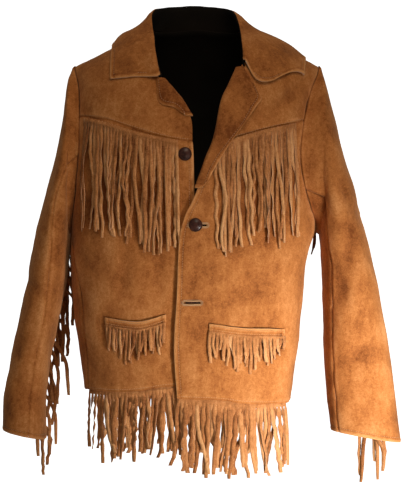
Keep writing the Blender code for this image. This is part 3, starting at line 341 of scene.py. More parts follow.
# Profile of a button: distance from the middle and height
BUTTON = {"radius": (0.0, 0.0045, 0.0085, 0.0108, 0.0115, 0.0108, 0.0),
          "height": (0.0052, 0.0047, 0.0033, 0.0018, 0.0009, 0.0, 0.0)}
# Buttonholes of the left front: ends along x and height
HOLES = {"x0": (-0.0120, -0.0210), "x1": (0.0165, 0.0060), "z": (-0.3085, -0.4387)}
SIGN = {"right": -1.0, "left": 1.0}
EDGE = {"right": RIGHT_EDGE, "left": LEFT_EDGE}
YOKE = {"right": RIGHT_YOKE, "left": LEFT_YOKE}
HEM = {"right": RIGHT_HEM, "left": LEFT_HEM}
POCKET = {"right": RIGHT_POCKET, "left": LEFT_POCKET}
OVER = {"right": 0.0, "left": 1.0}

# %% [markdown]
# Suede is a matte nap. Its look comes from large soft patches where the nap was brushed one way or the
# other, a finer mottle, and fibres that only the bump shows. The shader is written as arithmetic on wires:
# one small class lets a noise be added, scaled and mixed as if it were a number.

# %% Shader wires
class Wire:
    """An output of a node; arithmetic on it adds Math nodes to the same material."""

    def __init__(self, tree, socket=None):
        """Hold the material's tree and the output that this wire comes from."""
        self.tree = tree
        self.socket = socket

    def node(self, kind, settings=(), sockets=(), out=0):
        """Add any node: its settings first, then the values or wires of its sockets."""
        made = self.tree.nodes.new(kind)
        for key, value in dict(settings).items():
            if key == "stops":
                ramp = made.color_ramp.elements
                for number, (place, colour) in enumerate(value):
                    stop = ramp[number] if number < len(ramp) else ramp.new(place)
                    stop.position = place
                    stop.color = (*colour, 1.0)
            else:
                setattr(made, key, value)
        for key, value in dict(sockets).items():
            if isinstance(value, Wire):
                self.tree.links.new(value.socket, made.inputs[key])
            else:
                made.inputs[key].default_value = value
        return Wire(self.tree, made.outputs[out])

    def math(self, operation, other=0.0, first=None):
        """One Math node; first takes the place of this wire as its first value."""
        left = self if first is None else first
        return self.node("ShaderNodeMath", {"operation": operation}, {0: left, 1: other})

    def __add__(self, other):
        return self.math("ADD", other)

    __radd__ = __add__

    def __mul__(self, other):
        return self.math("MULTIPLY", other)

    __rmul__ = __mul__

    def __sub__(self, other):
        return self.math("SUBTRACT", other)

    def __rsub__(self, other):
        return self.math("SUBTRACT", self, first=other)


def new_material(name):
    """A material with its Principled shader, and a wire to start from."""
    material = bpy.data.materials.new(name)
    material.use_nodes = True
    return material, material.node_tree.nodes["Principled BSDF"], Wire(material.node_tree)


def noise(wire, place, scale, detail=2.0, roughness=0.5, distortion=0.0):
    """Noise between about 0 and 1 at a number of waves to the metre."""
    return wire.node("ShaderNodeTexNoise", (), {"Vector": place, "Scale": scale, "Detail": detail,
                                                "Roughness": roughness, "Distortion": distortion})


def stretched(wire, place, scale):
    """The place with its axes scaled, which draws a pattern out along the smaller ones."""
    return wire.node("ShaderNodeVectorMath", {"operation": "MULTIPLY"}, {0: place, 1: scale})


def finish_with(material, shader, colour, roughness, height, strength, distance):
    """Wire colour, roughness and a bumped normal into the shader."""
    tree = material.node_tree
    bump = tree.nodes.new("ShaderNodeBump")
    bump.inputs["Strength"].default_value = strength
    bump.inputs["Distance"].default_value = distance
    tree.links.new(height.socket, bump.inputs["Height"])
    tree.links.new(colour.socket, shader.inputs["Base Color"])
    tree.links.new(roughness.socket, shader.inputs["Roughness"])
    tree.links.new(bump.outputs["Normal"], shader.inputs["Normal"])

# %% [markdown]
# Three suedes come from one recipe: the panels, the strands, a little paler as painted light where they hang
# in each other's shade, and the pale raw edge. Seams, stitch grooves, crease troughs and the hide under laid
# fringe are painted darker as shade, and worn ridges and edges pale; that comes from an attribute that every
# panel carries, named wear_and_shade.

# %% Suede
# Noises: waves to the metre, detail, roughness and distortion
PATCHES = (3.0, 0.55, 0.6)
STROKES = (60.0, 4.0, 0.6, 0.8)
MOTTLE = (42.0, 4.0, 0.62, 0.4)
NAP = (170.0, 3.0, 0.6, 0.5)
GRAIN = (480.0, 3.0, 0.7)
FIBRE = (1500.0, 2.0, 0.6)
STROKES_RUN, FIBRE_RUN = (1.0, 1.0, 0.35), (1.0, 1.0, 0.45)
# Shares of each in the tone, in the relief, and the places of the three colours
TONE = {"patches": 0.22, "mottle": 0.32, "strokes": 0.45, "nap": 0.55, "grain": 0.65, "wear_and_shade": 0.55}
RELIEF = {"grain": 0.45, "fibre": 0.35, "mottle": 0.5, "strokes": 0.3}
STOPS = (0.12, 0.50, 0.88)
SUEDE_ROUGHNESS, ROUGHNESS_SPAN = 0.78, 0.16
BUMP_STRENGTH, BUMP_DEPTH = 0.55, 0.0011
SHEEN = {"Sheen Weight": 0.30, "Sheen Roughness": 0.45, "Sheen Tint": (1.0, 0.62, 0.34, 1.0),
         "Specular IOR Level": 0.18}


def suede(name, dark, middle, light, patch=7.0, contrast=1.0):
    """Brushed hide: tone = patches + mottle + fine grain + wear and painted shade, read through a ramp of
    three colours.
    """
    material, shader, wire = new_material(name)
    place = wire.node("ShaderNodeTexCoord", out=3)
    # Wear with painted shade and painted highlights, from the attribute that every panel carries
    wear_and_shade = wire.node("ShaderNodeAttribute", {"attribute_name": "wear_and_shade"}, out=2)
    patches = noise(wire, place, patch, *PATCHES)
    strokes = noise(wire, stretched(wire, place, STROKES_RUN), *STROKES)
    mottle = noise(wire, place, *MOTTLE)
    nap = noise(wire, place, *NAP)
    grain = noise(wire, place, *GRAIN)
    fibre = noise(wire, stretched(wire, place, FIBRE_RUN), *FIBRE)
    tone = ((patches - 0.5) * (TONE["patches"] * contrast) + (mottle - 0.5) * (TONE["mottle"] * contrast)
            + (strokes - 0.5) * (TONE["strokes"] * contrast) + (nap - 0.5) * TONE["nap"]
            + (grain - 0.5) * TONE["grain"] + wear_and_shade * TONE["wear_and_shade"] + 0.5)
    colour = tone.node("ShaderNodeValToRGB", {"stops": tuple(zip(STOPS, (dark, middle, light)))}, {0: tone})
    roughness = mottle * ROUGHNESS_SPAN + SUEDE_ROUGHNESS
    height = (grain * RELIEF["grain"] + fibre * RELIEF["fibre"] + mottle * RELIEF["mottle"]
              + strokes * RELIEF["strokes"])
    finish_with(material, shader, colour, roughness, height, BUMP_STRENGTH, BUMP_DEPTH)
    for socket, value in SHEEN.items():
        shader.inputs[socket].default_value = value
    return material


SUEDE = suede("suede", (0.170, 0.043, 0.007), (0.410, 0.140, 0.033), (0.620, 0.270, 0.092))
# Paler than the panels: painted light, lifting the strands where they hang in each other's shade
STRANDS = suede("suede_fringe", (0.160, 0.045, 0.010), (0.480, 0.190, 0.062), (0.680, 0.350, 0.150),
                patch=20.0, contrast=1.1)
RAW_EDGE = suede("raw_edge", (0.340, 0.145, 0.065), (0.560, 0.290, 0.150), (0.740, 0.460, 0.280),
                 patch=30.0, contrast=0.8)
print("suedes:", SUEDE.name, STRANDS.name, RAW_EDGE.name)

# %% [markdown]
# The inside is not shown, so it gets a plain, near-black twill-like lining colour, dark enough to paint in
# the shade inside the hollow. The thread is waxed cotton, and the buttons are dark polished leather over a
# dome, with a thin clear finish.

# %% Lining, thread and button leather
def two_colours(tone, dark, pale_colour):
    """A ramp from a dark to a paler colour over the middle of a noise's range."""
    return tone.node("ShaderNodeValToRGB", {"stops": ((0.3, dark), (0.7, pale_colour))}, {0: tone})


def lining():
    """A near-black woven cloth, its darkness partly painted shade: a fine weave over a slow change of tone.
    """
    material, shader, wire = new_material("lining")
    place = wire.node("ShaderNodeTexCoord", out=3)
    weave = noise(wire, stretched(wire, place, (1.0, 1.0, 0.2)), 900.0, 2.0)
    tone = noise(wire, place, 14.0, 2.0) * 0.6 + weave * 0.4
    colour = two_colours(tone, (0.004, 0.003, 0.002), (0.010, 0.007, 0.005))
    finish_with(material, shader, colour, tone * 0.2 + 0.75, weave, 0.3, 0.0004)
    shader.inputs["Specular IOR Level"].default_value = 0.1
    return material


def thread():
    """Waxed cotton, a little uneven along its twist."""
    material, shader, wire = new_material("thread")
    place = wire.node("ShaderNodeTexCoord", out=3)
    twist = noise(wire, place, 1800.0, 2.0)
    colour = two_colours(twist, (0.34, 0.16, 0.060), (0.58, 0.33, 0.16))
    finish_with(material, shader, colour, twist * 0.2 + 0.6, twist, 0.4, 0.0003)
    return material


def button_leather():
    """Dark pebbled leather under a thin clear finish."""
    material, shader, wire = new_material("button_leather")
    place = wire.node("ShaderNodeTexCoord", out=3)
    grain = wire.node("ShaderNodeTexVoronoi", (), {"Vector": place, "Scale": 900.0})
    stain = noise(wire, place, 160.0, 3.0)
    colour = two_colours(stain, (0.016, 0.005, 0.004), (0.070, 0.022, 0.014))
    finish_with(material, shader, colour, stain * 0.25 + 0.22, grain, 0.25, 0.0003)
    shader.inputs["Specular IOR Level"].default_value = 0.15
    shader.inputs["Coat Weight"].default_value = 0.35
    shader.inputs["Coat Roughness"].default_value = 0.10
    return material


LINING, THREAD, BUTTON_LEATHER = lining(), thread(), button_leather()
print("other finishes:", LINING.name, THREAD.name, BUTTON_LEATHER.name)

# %% [markdown]
# Cloth is a thin shell: a grid of points is its inner face, and Solidify grows the wall outward. Solidify
# also gives the wall's other side and its rim their own materials, which makes the lining and the pale raw
# edge without any extra piece.

# %% From a grid to a thin shell
def link(mesh, name):
    """Put a mesh in the scene as a piece of the jacket's one body."""
    made = bpy.data.objects.new(name, mesh)
    bpy.context.scene.collection.objects.link(made)
    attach(made, "root")
    return made


def surface(name, points, faces, materials, wall, wear_and_shade=None, uv=None, outward=True):
    """Points and quads as a piece; wall is its thickness, grown along the normals or against them."""
    mesh = bpy.data.meshes.new(name)
    mesh.from_pydata(points.reshape(-1, 3).tolist(), [], faces.tolist())
    mesh.update()
    mesh.shade_smooth()
    for material in materials:
        mesh.materials.append(material)
    if wear_and_shade is not None:
        layer = mesh.attributes.new("wear_and_shade", "FLOAT", "POINT")
        layer.data.foreach_set("value", wear_and_shade.ravel().astype(np.float32))
    if uv is not None:
        layer = mesh.uv_layers.new(name="cut")
        layer.data.foreach_set("uv", uv.reshape(-1, 2)[faces.ravel()].ravel().astype(np.float32))
    made = link(mesh, name)
    if wall:
        thicken = made.modifiers.new("wall", "SOLIDIFY")
        thicken.thickness = wall
        thicken.offset = 1.0 if outward else -1.0
        thicken.material_offset = 1
        thicken.material_offset_rim = 2
    return made


def grid_faces(rows, columns):
    """Quads of a grid, wound so that the normals point out of the jacket."""
    index = np.arange(rows * columns).reshape(rows, columns)
    return np.stack([index[:-1, :-1], index[:-1, 1:], index[1:, 1:], index[1:, :-1]], -1).reshape(-1, 4)


def run_length(points, axis):
    """Distance along the grid's rows or columns from the first point."""
    step = np.linalg.norm(np.diff(points, axis=axis), axis=-1)
    return np.concatenate([np.zeros_like(step.take([0], axis)), np.cumsum(step, axis)], axis)


def from_edges(points):
    """Distances of every point from the grid's foot, top, left and right edges."""
    up, across = run_length(points, 0), run_length(points, 1)
    return {"foot": up, "top": up[-1:] - up, "left": across, "right": across[:, -1:] - across}


def spread(length, step, start=True, end=True):
    """Shares from 0 to 1 along a length, close together near an edge that is sewn or stitched."""
    near = np.array([0, 0.0008, 0.0018, 0.0032, 0.0050, 0.0064, 0.0076, 0.0088, 0.0105, 0.014, 0.019])
    near = near[near < 0.40 * length]
    first = near if start else near[:1]
    last = length - (near if end else near[:1])[::-1]
    count = max(2, int(math.ceil((last[0] - first[-1]) / step)) + 1)
    return np.concatenate([first, np.linspace(first[-1], last[0], count)[1:-1], last]) / length

# %% [markdown]
# What makes a seam or an edge read is relief of under a millimetre. A sewn edge sinks into its seam and
# puckers along it; a free edge is rounded, and a stitch row presses a groove a few millimetres inside it.
# Hide also never lies dead flat, so a sum of weak waves at many angles disturbs every panel.

# %% Relief of seams, stitch rows and hide
STITCH_INSET = 0.0076
# Bells of a sewn edge and a free edge: place from the edge, width, height, and wear with painted shade:
# the seam line and the stitch groove are painted darker as shade; the band beside a seam and the rounded
# free edge are paler, partly worn and partly a painted highlight
SINK = {"width": 0.0019, "depth": 0.0011, "shade_width": 0.0024, "shade": 0.22}
PUCKER = {"pitch": 0.013, "drift": 37.0, "height": 0.00035, "reach": 0.006, "start": 0.002}
SEAM_RIDGE = {"place": 0.006, "width": 0.003, "wear_and_shade": 0.16}
ROUNDED = {"width": 0.0013, "depth": 0.0005, "pale_width": 0.0028, "wear_and_shade": 0.85}
GROOVE = {"width": 0.0012, "depth": 0.00050, "shade_width": 0.0014, "shade": 0.38}
LIP = {"place": 0.0040, "width": 0.0016, "height": 0.00035}


def bell(away, place, width):
    """A bell of height 1 across an edge, at a distance from it."""
    return np.exp(-((away - place) / width) ** 2)


def edge_relief(points, kinds):
    """Bells across each edge: a sunk and puckered seam, or a rounded edge and a pressed stitch row, with
    painted shade in seams and grooves and paler painted bands.
    """
    far = from_edges(points)
    lift = np.zeros(points.shape[:2])
    wear_and_shade = np.zeros(points.shape[:2])
    for edge, kind in zip(("foot", "top", "left", "right"), kinds):
        away = far[edge]
        along = far["left"] if edge in ("foot", "top") else far["foot"]
        if kind == "sewn":
            pucker = np.sin(along * 2 * math.pi / PUCKER["pitch"] + 2.0 * np.sin(along * PUCKER["drift"]))
            fading = np.exp(-away / PUCKER["reach"])
            lift -= SINK["depth"] * bell(away, 0, SINK["width"])
            lift += PUCKER["height"] * pucker * fading * (1 - np.exp(-away / PUCKER["start"]))
            # Painted shade in the seam line, and a paler band beside it, partly a painted highlight on its
            # ridge
            wear_and_shade -= SINK["shade"] * bell(away, 0, SINK["shade_width"])
            wear_and_shade += SEAM_RIDGE["wear_and_shade"] * bell(away, SEAM_RIDGE["place"], SEAM_RIDGE["width"])
        if kind == "free":
            lift -= ROUNDED["depth"] * bell(away, 0, ROUNDED["width"])
            lift -= GROOVE["depth"] * bell(away, STITCH_INSET, GROOVE["width"])
            lift += LIP["height"] * bell(away, LIP["place"], LIP["width"])
            # Paler rounded edge, partly worn and partly a painted highlight; painted shade in the stitch
            # groove
            wear_and_shade += ROUNDED["wear_and_shade"] * bell(away, 0, ROUNDED["pale_width"])
            wear_and_shade -= GROOVE["shade"] * bell(away, STITCH_INSET, GROOVE["shade_width"])
    return lift, wear_and_shade


# The hide's slow unevenness: how many waves, how long, how high, how much longer ones grow, and
# the usual size of their sum
UNEVEN = {"waves": 18, "shortest": 0.014, "longest": 0.090, "height": 0.00035, "middle": 0.05,
          "growth": 0.6, "sum": 2.2}
# Painted shade and wear on the hide, for a metre of that unevenness and for a metre of a crease's depth:
# dips and troughs are painted darker as shade, rises and ridges paler, as worn
WAVE_SHADE_AND_WEAR, FOLD_SHADE_AND_WEAR = 260, 70


def unevenness(points, seed):
    """Sum of weak plane waves with random directions."""
    random = np.random.default_rng(seed)
    ways = random.normal(size=(UNEVEN["waves"], 3))
    ways /= np.linalg.norm(ways, axis=1, keepdims=True)
    wave = random.uniform(UNEVEN["shortest"], UNEVEN["longest"], UNEVEN["waves"])
    phase = random.uniform(0, 2 * math.pi, UNEVEN["waves"])
    turn = points @ (ways * (2 * math.pi / wave)[:, None]).T + phase
    waves = np.sin(turn) * (wave / UNEVEN["middle"]) ** UNEVEN["growth"]
    return UNEVEN["height"] * waves.sum(-1) / UNEVEN["sum"]


def panel(name, shape, kinds, seed, wall=WALL, flip=False, outward=True, folds=None, painted_shade=0.0,
          materials=(SUEDE, LINING, RAW_EDGE)):
    """A panel: shape(lift) gives its grid; the relief is worked out on it and fed back as lift."""
    plain = shape(0.0)
    lift, wear_and_shade = edge_relief(plain, kinds)
    waves = unevenness(plain, seed)
    lift = lift + waves
    points = shape(lift)
    # Painted shade and wear: darker dips and paler rises of the hide, plus any painted shade given
    wear_and_shade = wear_and_shade + waves * WAVE_SHADE_AND_WEAR + painted_shade
    if folds is not None:
        wear_and_shade = wear_and_shade + folds
    far = from_edges(points)
    uv = np.stack([far["left"], far["foot"]], -1)
    if flip:
        points, wear_and_shade, uv = points[:, ::-1], wear_and_shade[:, ::-1], uv[:, ::-1]
    made = surface(name, points, grid_faces(*points.shape[:2]), materials, wall, wear_and_shade, uv, outward)
    GRIDS[name] = (points, wall if outward else 0.0)
    up_way, across_way = points[1:, :-1] - points[:-1, :-1], points[:-1, 1:] - points[:-1, :-1]
    AREAS[name] = float(np.linalg.norm(np.cross(up_way, across_way), axis=-1).sum())
    SPANS[name] = (float(far["left"][:, -1].max()), float(far["foot"][-1].max()))
    return made


def spans_of(word):
    """Width and length of the panels with a word in their names."""
    return {name: tuple(round(s, 3) for s in span) for name, span in SPANS.items() if word in name}


GRIDS, AREAS, SPANS = {}, {}, {}
print("stitch rows lie", STITCH_INSET * 1000, "mm inside the edges")

# %% [markdown]
# Each front is cut in two at the yoke seam. The grid runs from the free edge round to the side seam and the
# armhole, and its rows are blended so that they follow the hem below and the yoke seam above: a Coons patch.

# %% Fronts and yokes
def coons(first, last, foot, top, up, across):
    """Values inside a four-sided patch, blended from the values along its sides."""
    up = up[:, None]
    sides = first[:, None] * (1 - across) + last[:, None] * across
    ends = foot * (1 - up) + top * up
    corners = ((foot[0] * (1 - across) + foot[-1] * across) * (1 - up)
               + (top[0] * (1 - across) + top[-1] * across) * up)
    return sides + ends - corners


def front_patch(side, inner, outer, foot_z, top_z, up, across):
    """Turn and drop values between the free edge and the outer edge; inner and outer hold the two
    heights that the edges run between."""
    inner_z = inner[0] + (inner[1] - inner[0]) * up
    outer_z = outer[0] + (outer[1] - outer[0]) * up
    inner_x = smooth(EDGE[side]["z"], EDGE[side]["x"], inner_z)
    inner_turn, inner_drop = turn_at(inner_x, inner_z), drop_at(inner_x, inner_z)
    outer_turn = SIGN[side] * outer_line(side, outer_z)
    centre = smooth(BODY["z"], BODY["centre"], outer_z)
    width = smooth(BODY["z"], BODY["half_width"], outer_z) - WALL
    outer_drop = drop_at(centre + width * section(outer_turn)[0], outer_z)
    turn = inner_turn[:, None] * (1 - across) + (outer_turn[:, None] - SIGN[side] * SEAM_TURN) * across
    ends = []
    for row, height in ((0, foot_z), (-1, top_z)):
        x = smooth_body(turn[row], inner_drop[row] * (1 - across) + outer_drop[row] * across, 0.0)[:, 0]
        ends.append(drop_at(x, height(x, across)))
    return turn, coons(inner_drop, outer_drop, ends[0], ends[1], up, across)


def fold_tone(points, folds, side=None):
    """Painted shade in the creases: troughs darker, ridges paler, as worn."""
    face = np.where(points[..., 1] < 0, "front", "back")
    return fold_depth(folds, points[..., 0], points[..., 2], face, side) * FOLD_SHADE_AND_WEAR


# Laid fringes: root line, its column, the line of the ends, both sides, and how softly the foot ends
FRINGE_SHADE = {"right": ((RIGHT_YOKE, "z", RIGHT_CHEST_ENDS, -0.190, -0.032, 0.030),
                          (RIGHT_POCKET, "top", RIGHT_POCKET_ENDS, -0.154, -0.053, 0.010)),
                "left": ((LEFT_YOKE, "z", LEFT_CHEST_ENDS, 0.030, 0.166, 0.030),
                         (LEFT_POCKET, "top", LEFT_POCKET_ENDS, 0.020, 0.148, 0.010))}
SHADE_START, SHADE_FADE, SHADE_DEPTH = 0.012, 0.008, 0.55


def fringe_shade(points, side):
    """Darker hide behind a laid fringe, where little light reaches; soft at every side."""
    x, z = points[..., 0], points[..., 2]
    shade = 0.0
    for root, key, ends, x0, x1, soft in FRINGE_SHADE[side]:
        top, foot = smooth(root["x"], root[key], x), smooth(ends["x"], ends["z"], x)
        inside = np.clip((top - z) / SHADE_START, 0, 1) * np.clip((z - foot) / soft, 0, 1)
        between = np.clip((x - x0) / SHADE_FADE, 0, 1) * np.clip((x1 - x) / SHADE_FADE, 0, 1)
        shade = shade - SHADE_DEPTH * inside * between
    return shade * (points[..., 1] < 0)


# A rough length and the spacing of points: across, below the armpit, above it, and over the shoulder
FRONT_GRID = {"across": (0.20, 0.0055), "low": (0.30, 0.0060), "high": (0.14, 0.0055),
              "yoke": (0.19, 0.0055)}
NECK_SEAM_Z = 0.032


def fronts(side, seed):
    """Front and yoke of one side, meeting at the yoke seam."""
    hem, yoke = HEM[side], YOKE[side]
    inner, outer = (-1, 0) if side == "right" else (0, -1)
    seam_in, seam_out = yoke["z"][inner], yoke["z"][outer]
    across = spread(*FRONT_GRID["across"])
    low_up = spread(*FRONT_GRID["low"], end=False)
    high_up = spread(*FRONT_GRID["high"], start=False)
    low = front_patch(side, (hem["z"][inner], CHEST_IN_Z), (hem["z"][outer], PIT_Z),
                      lambda x, f: smooth(hem["x"], hem["z"], x),
                      lambda x, f: CHEST_IN_Z * (1 - f) + PIT_Z * f, low_up, across)
    high = front_patch(side, (CHEST_IN_Z, seam_in - SEAM / 2), (PIT_Z, seam_out - SEAM / 2),
                       lambda x, f: CHEST_IN_Z * (1 - f) + PIT_Z * f,
                       lambda x, f: smooth(yoke["x"], yoke["z"], x) - SEAM / 2, high_up, across)
    shoulder = front_patch(side, (seam_in + SEAM / 2, NECK_SEAM_Z),
                           (seam_out + SEAM / 2, SHOULDER_TIP_Z - WALL),
                           lambda x, f: smooth(yoke["x"], yoke["z"], x) + SEAM / 2,
                           lambda x, f: ridge_height(x), spread(*FRONT_GRID["yoke"]), across)
    shoulder[1][-1] = SHOULDER_SEAM
    turn, drop = np.concatenate([low[0], high[0][1:]]), np.concatenate([low[1], high[1][1:]])
    flip = side == "right"
    plain = body(turn, drop, 0, OVER[side])
    front = panel(f"suede_front_{side}", lambda lift: body(turn, drop, lift, OVER[side]),
                  ("sewn", "sewn", "free", "sewn"), seed, flip=flip,
                  folds=fold_tone(plain, BODY_FOLDS) + fringe_shade(plain, side))
    plain = body(*shoulder, 0, OVER[side])
    yoke_piece = panel(f"suede_yoke_{side}", lambda lift: body(*shoulder, lift, OVER[side]),
                       ("sewn", "sewn", "none", "sewn"), seed + 1, flip=flip,
                       folds=fold_tone(plain, BODY_FOLDS))
    return front, yoke_piece


front_right, yoke_right = fronts("right", 11)
front_left, yoke_left = fronts("left", 21)
print("fronts:", spans_of("suede"))

# %% [markdown]
# The back is one panel from side seam to side seam. It rises over the shoulder blades to the shoulder seams,
# and its top edge is scooped for the neck.

# %% Back
# A rough length and the spacing of points: from the middle to a side, below the armpit, and above it
BACK_GRID = {"half": (0.215, 0.0065), "low": (0.30, 0.0065), "high": (0.33, 0.0065)}
SCOOP_POWER = 0.7


def back_grid():
    """Turn and drop of the back: shares of the way from its middle to the side seams and armholes."""
    neck_share = float(turn_of_angle(BACK_NECK_ANGLE) / turn_of_angle(SHOULDER_ANGLE))
    half = spread(*BACK_GRID["half"], start=False)
    shares = np.r_[-half[::-1], half[1:]]
    size, sign = np.abs(shares), np.where(shares < 0, -1.0, 1.0)
    hem_ends = {"right": RIGHT_HEM["z"][0], "left": LEFT_HEM["z"][-1]}
    across = (shares + 1) / 2
    turns, drops = [], []
    for part, way in (("low", spread(*BACK_GRID["low"], end=False)),
                      ("high", spread(*BACK_GRID["high"], start=False))):
        edges, edge_drops = {}, {}
        for side in ("right", "left"):
            if part == "low":
                z = hem_ends[side] + (PIT_Z - hem_ends[side]) * way
                edge = 2 - turn_of_angle(smooth(SIDE_SEAM["z"], SIDE_SEAM[side], z))
            else:
                z = PIT_Z + (SHOULDER_TIP_Z - WALL - PIT_Z) * way
                edge = armhole_turn(z, "back")
            edges[side] = edge - SEAM_TURN
            centre = smooth(BODY["z"], BODY["centre"], z)
            width = smooth(BODY["z"], BODY["half_width"], z) - WALL
            edge_drops[side] = drop_at(centre + SIGN[side] * width * section(edges[side])[0], z)
        edge = np.where(shares < 0, edges["right"][:, None], edges["left"][:, None])
        turn = sign * (2 - size * edge)
        ends = []
        for row in (0, -1):
            guess = np.where(shares < 0, edge_drops["right"][row], edge_drops["left"][row])
            x = smooth_body(turn[row], guess, 0.0)[:, 0]
            side_z = np.where(shares < 0, hem_ends["right"], hem_ends["left"])
            hem_z = side_z * size + BACK_HEM_Z * (1 - size)
            level = hem_z if part == "low" and row == 0 else PIT_Z + 0 * x
            ends.append(drop_at(x, level))
        if part == "high":
            inside = np.clip(size / neck_share, 0, 1)
            scoop = float(drop_at(0.0, BACK_NECK_Z)) * np.cos(math.pi / 2 * inside) ** SCOOP_POWER
            ends[1] = np.maximum(scoop, SHOULDER_SEAM)
        drop = coons(edge_drops["right"], edge_drops["left"], ends[0], ends[1], way, across)
        if part == "high":
            drop[-1] = ends[1]
        turns.append(turn)
        drops.append(drop)
    return np.concatenate([turns[0], turns[1][1:]]), np.concatenate([drops[0], drops[1][1:]])


back_turn, back_drop = back_grid()
back = panel("suede_back", lambda lift: body(back_turn, back_drop, lift),
             ("sewn", "sewn", "sewn", "sewn"), 31, flip=True,
             folds=fold_tone(body(back_turn, back_drop), BODY_FOLDS))
# The back's cut edges take the near-black lining colour: painted shade where its neck edge shows
back.modifiers["wall"].material_offset_rim = 1
print("back:", tuple(round(s, 3) for s in SPANS["suede_back"]))

# %% [markdown]
# A sleeve is two pieces on one tube. The tube's rings lean from a leaning armhole to the cuff, and the seams
# wander round it as the tables say, so that the photographed seam and the hidden fringe seam stay in place.

# %% Sleeve tables
# Sleeves: rings from the armhole to the cuff, outer sizes
RIGHT_SLEEVE = {
    "out_x":      (-0.2235, -0.2300, -0.2370, -0.2490, -0.2640, -0.2770, -0.2890, -0.3010,
                   -0.3140, -0.3265, -0.3355, -0.3385),
    "out_z":      (-0.052, -0.090, -0.140, -0.198, -0.252, -0.305, -0.362, -0.425,
                   -0.488, -0.548, -0.603, -0.660),
    "in_x":       (-0.2235, -0.2225, -0.2220, -0.2220, -0.2225, -0.2235, -0.2265, -0.2340,
                   -0.2445, -0.2560, -0.2625, -0.2620),
    "in_z":       (-0.3215, -0.3255, -0.331, -0.338, -0.347, -0.362, -0.392, -0.438,
                   -0.490, -0.545, -0.612, -0.677),
    "front":      (-0.073, -0.076, -0.078, -0.079, -0.078, -0.077, -0.075, -0.073,
                   -0.072, -0.073, -0.074, -0.075),
    "back":       (0.066, 0.070, 0.072, 0.074, 0.074, 0.072, 0.068, 0.062,
                   0.054, 0.046, 0.038, 0.031),
    "front_seam": (96.0, 92.0, 86.0, 80.0, 84.0, 92.0, 98.0, 104.0,
                   108.0, 110.0, 110.0, 106.0),
    "back_seam":  (120.0, 122.0, 124.0, 126.0, 127.0, 128.0, 128.0, 126.0,
                   123.0, 119.0, 114.0, 110.0),
}
LEFT_SLEEVE = {
    "out_x":      (0.2225, 0.2310, 0.2425, 0.2540, 0.2720, 0.2850, 0.2990, 0.3140,
                   0.3270, 0.3390, 0.3470, 0.3545),
    "out_z":      (-0.050, -0.085, -0.130, -0.180, -0.235, -0.290, -0.345, -0.408,
                   -0.480, -0.550, -0.620, -0.683),
    "in_x":       (0.2135, 0.2140, 0.2145, 0.2150, 0.2155, 0.2165, 0.2180, 0.2188,
                   0.2195, 0.2220, 0.2265, 0.2330),
    "in_z":       (-0.3215, -0.3255, -0.331, -0.338, -0.346, -0.360, -0.388, -0.430,
                   -0.490, -0.550, -0.612, -0.662),
    "front":      (-0.073, -0.076, -0.079, -0.080, -0.080, -0.079, -0.077, -0.074,
                   -0.071, -0.069, -0.067, -0.065),
    "back":       (0.066, 0.069, 0.070, 0.070, 0.068, 0.065, 0.060, 0.054,
                   0.046, 0.037, 0.029, 0.022),
    "front_seam": (120.0, 122.0, 125.0, 128.0, 130.0, 132.0, 134.0, 136.0,
                   138.0, 140.0, 142.0, 144.0),
    "back_seam":  (112.0, 110.0, 106.0, 103.0, 100.0, 97.0, 94.0, 91.0,
                   88.0, 85.0, 82.0, 80.0),
}
RINGS = 12
SLEEVE = {"right": RIGHT_SLEEVE, "left": LEFT_SLEEVE}
SLEEVE_FOLDS = {
    "side":  ("left", "left", "left", "left", "left", "left", "left",
              "right", "right", "right", "right", "right", "right",
              "left", "left", "left", "right", "right", "right"),
    "face":  ("front", "front", "front", "front", "front", "front", "front",
              "front", "front", "front", "front", "front", "front",
              "back", "back", "back", "back", "back", "back"),
    "x0":    (0.213, 0.2465, 0.2671, 0.2344, 0.300, 0.262, 0.300,
              -0.2258, -0.245, -0.259, -0.300, -0.290, -0.318,
              0.235, 0.300, 0.250, -0.240, -0.295, -0.262),
    "z0":    (-0.240, -0.238, -0.2845, -0.3586, -0.258, -0.395, -0.500,
              -0.178, -0.278, -0.392, -0.395, -0.500, -0.560,
              -0.260, -0.350, -0.480, -0.260, -0.370, -0.500),
    "x1":    (0.2292, 0.2671, 0.2533, 0.2465, 0.278, 0.268, 0.262,
              -0.245, -0.259, -0.273, -0.262, -0.318, -0.280,
              0.275, 0.240, 0.320, -0.275, -0.245, -0.315),
    "z1":    (-0.3035, -0.2845, -0.4189, -0.4396, -0.300, -0.440, -0.545,
              -0.278, -0.392, -0.600, -0.430, -0.545, -0.610,
              -0.350, -0.420, -0.560, -0.350, -0.430, -0.570),
    "width": (0.010, 0.010, 0.012, 0.011, 0.010, 0.012, 0.014,
              0.009, 0.008, 0.009, 0.012, 0.012, 0.013,
              0.013, 0.014, 0.015, 0.012, 0.013, 0.014),
    "depth": (-0.0060, -0.0050, -0.0050, -0.0045, -0.0040, 0.0035, -0.0035,
              0.0030, 0.0030, 0.0030, -0.0035, -0.0030, -0.0030,
              -0.0050, -0.0050, -0.0040, -0.0045, -0.0045, -0.0040),
}

# %% [markdown]
# A point of a sleeve comes from an angle round the tube and a distance along it. The first ring is the
# armhole's own line on the body, so sleeve and body meet all round.

# %% Sleeves
# Creases fade in over this many rings; a section's power, where 1 is an oval
FOLDS_FADE, TUBE_POWER = 1.5, 0.9


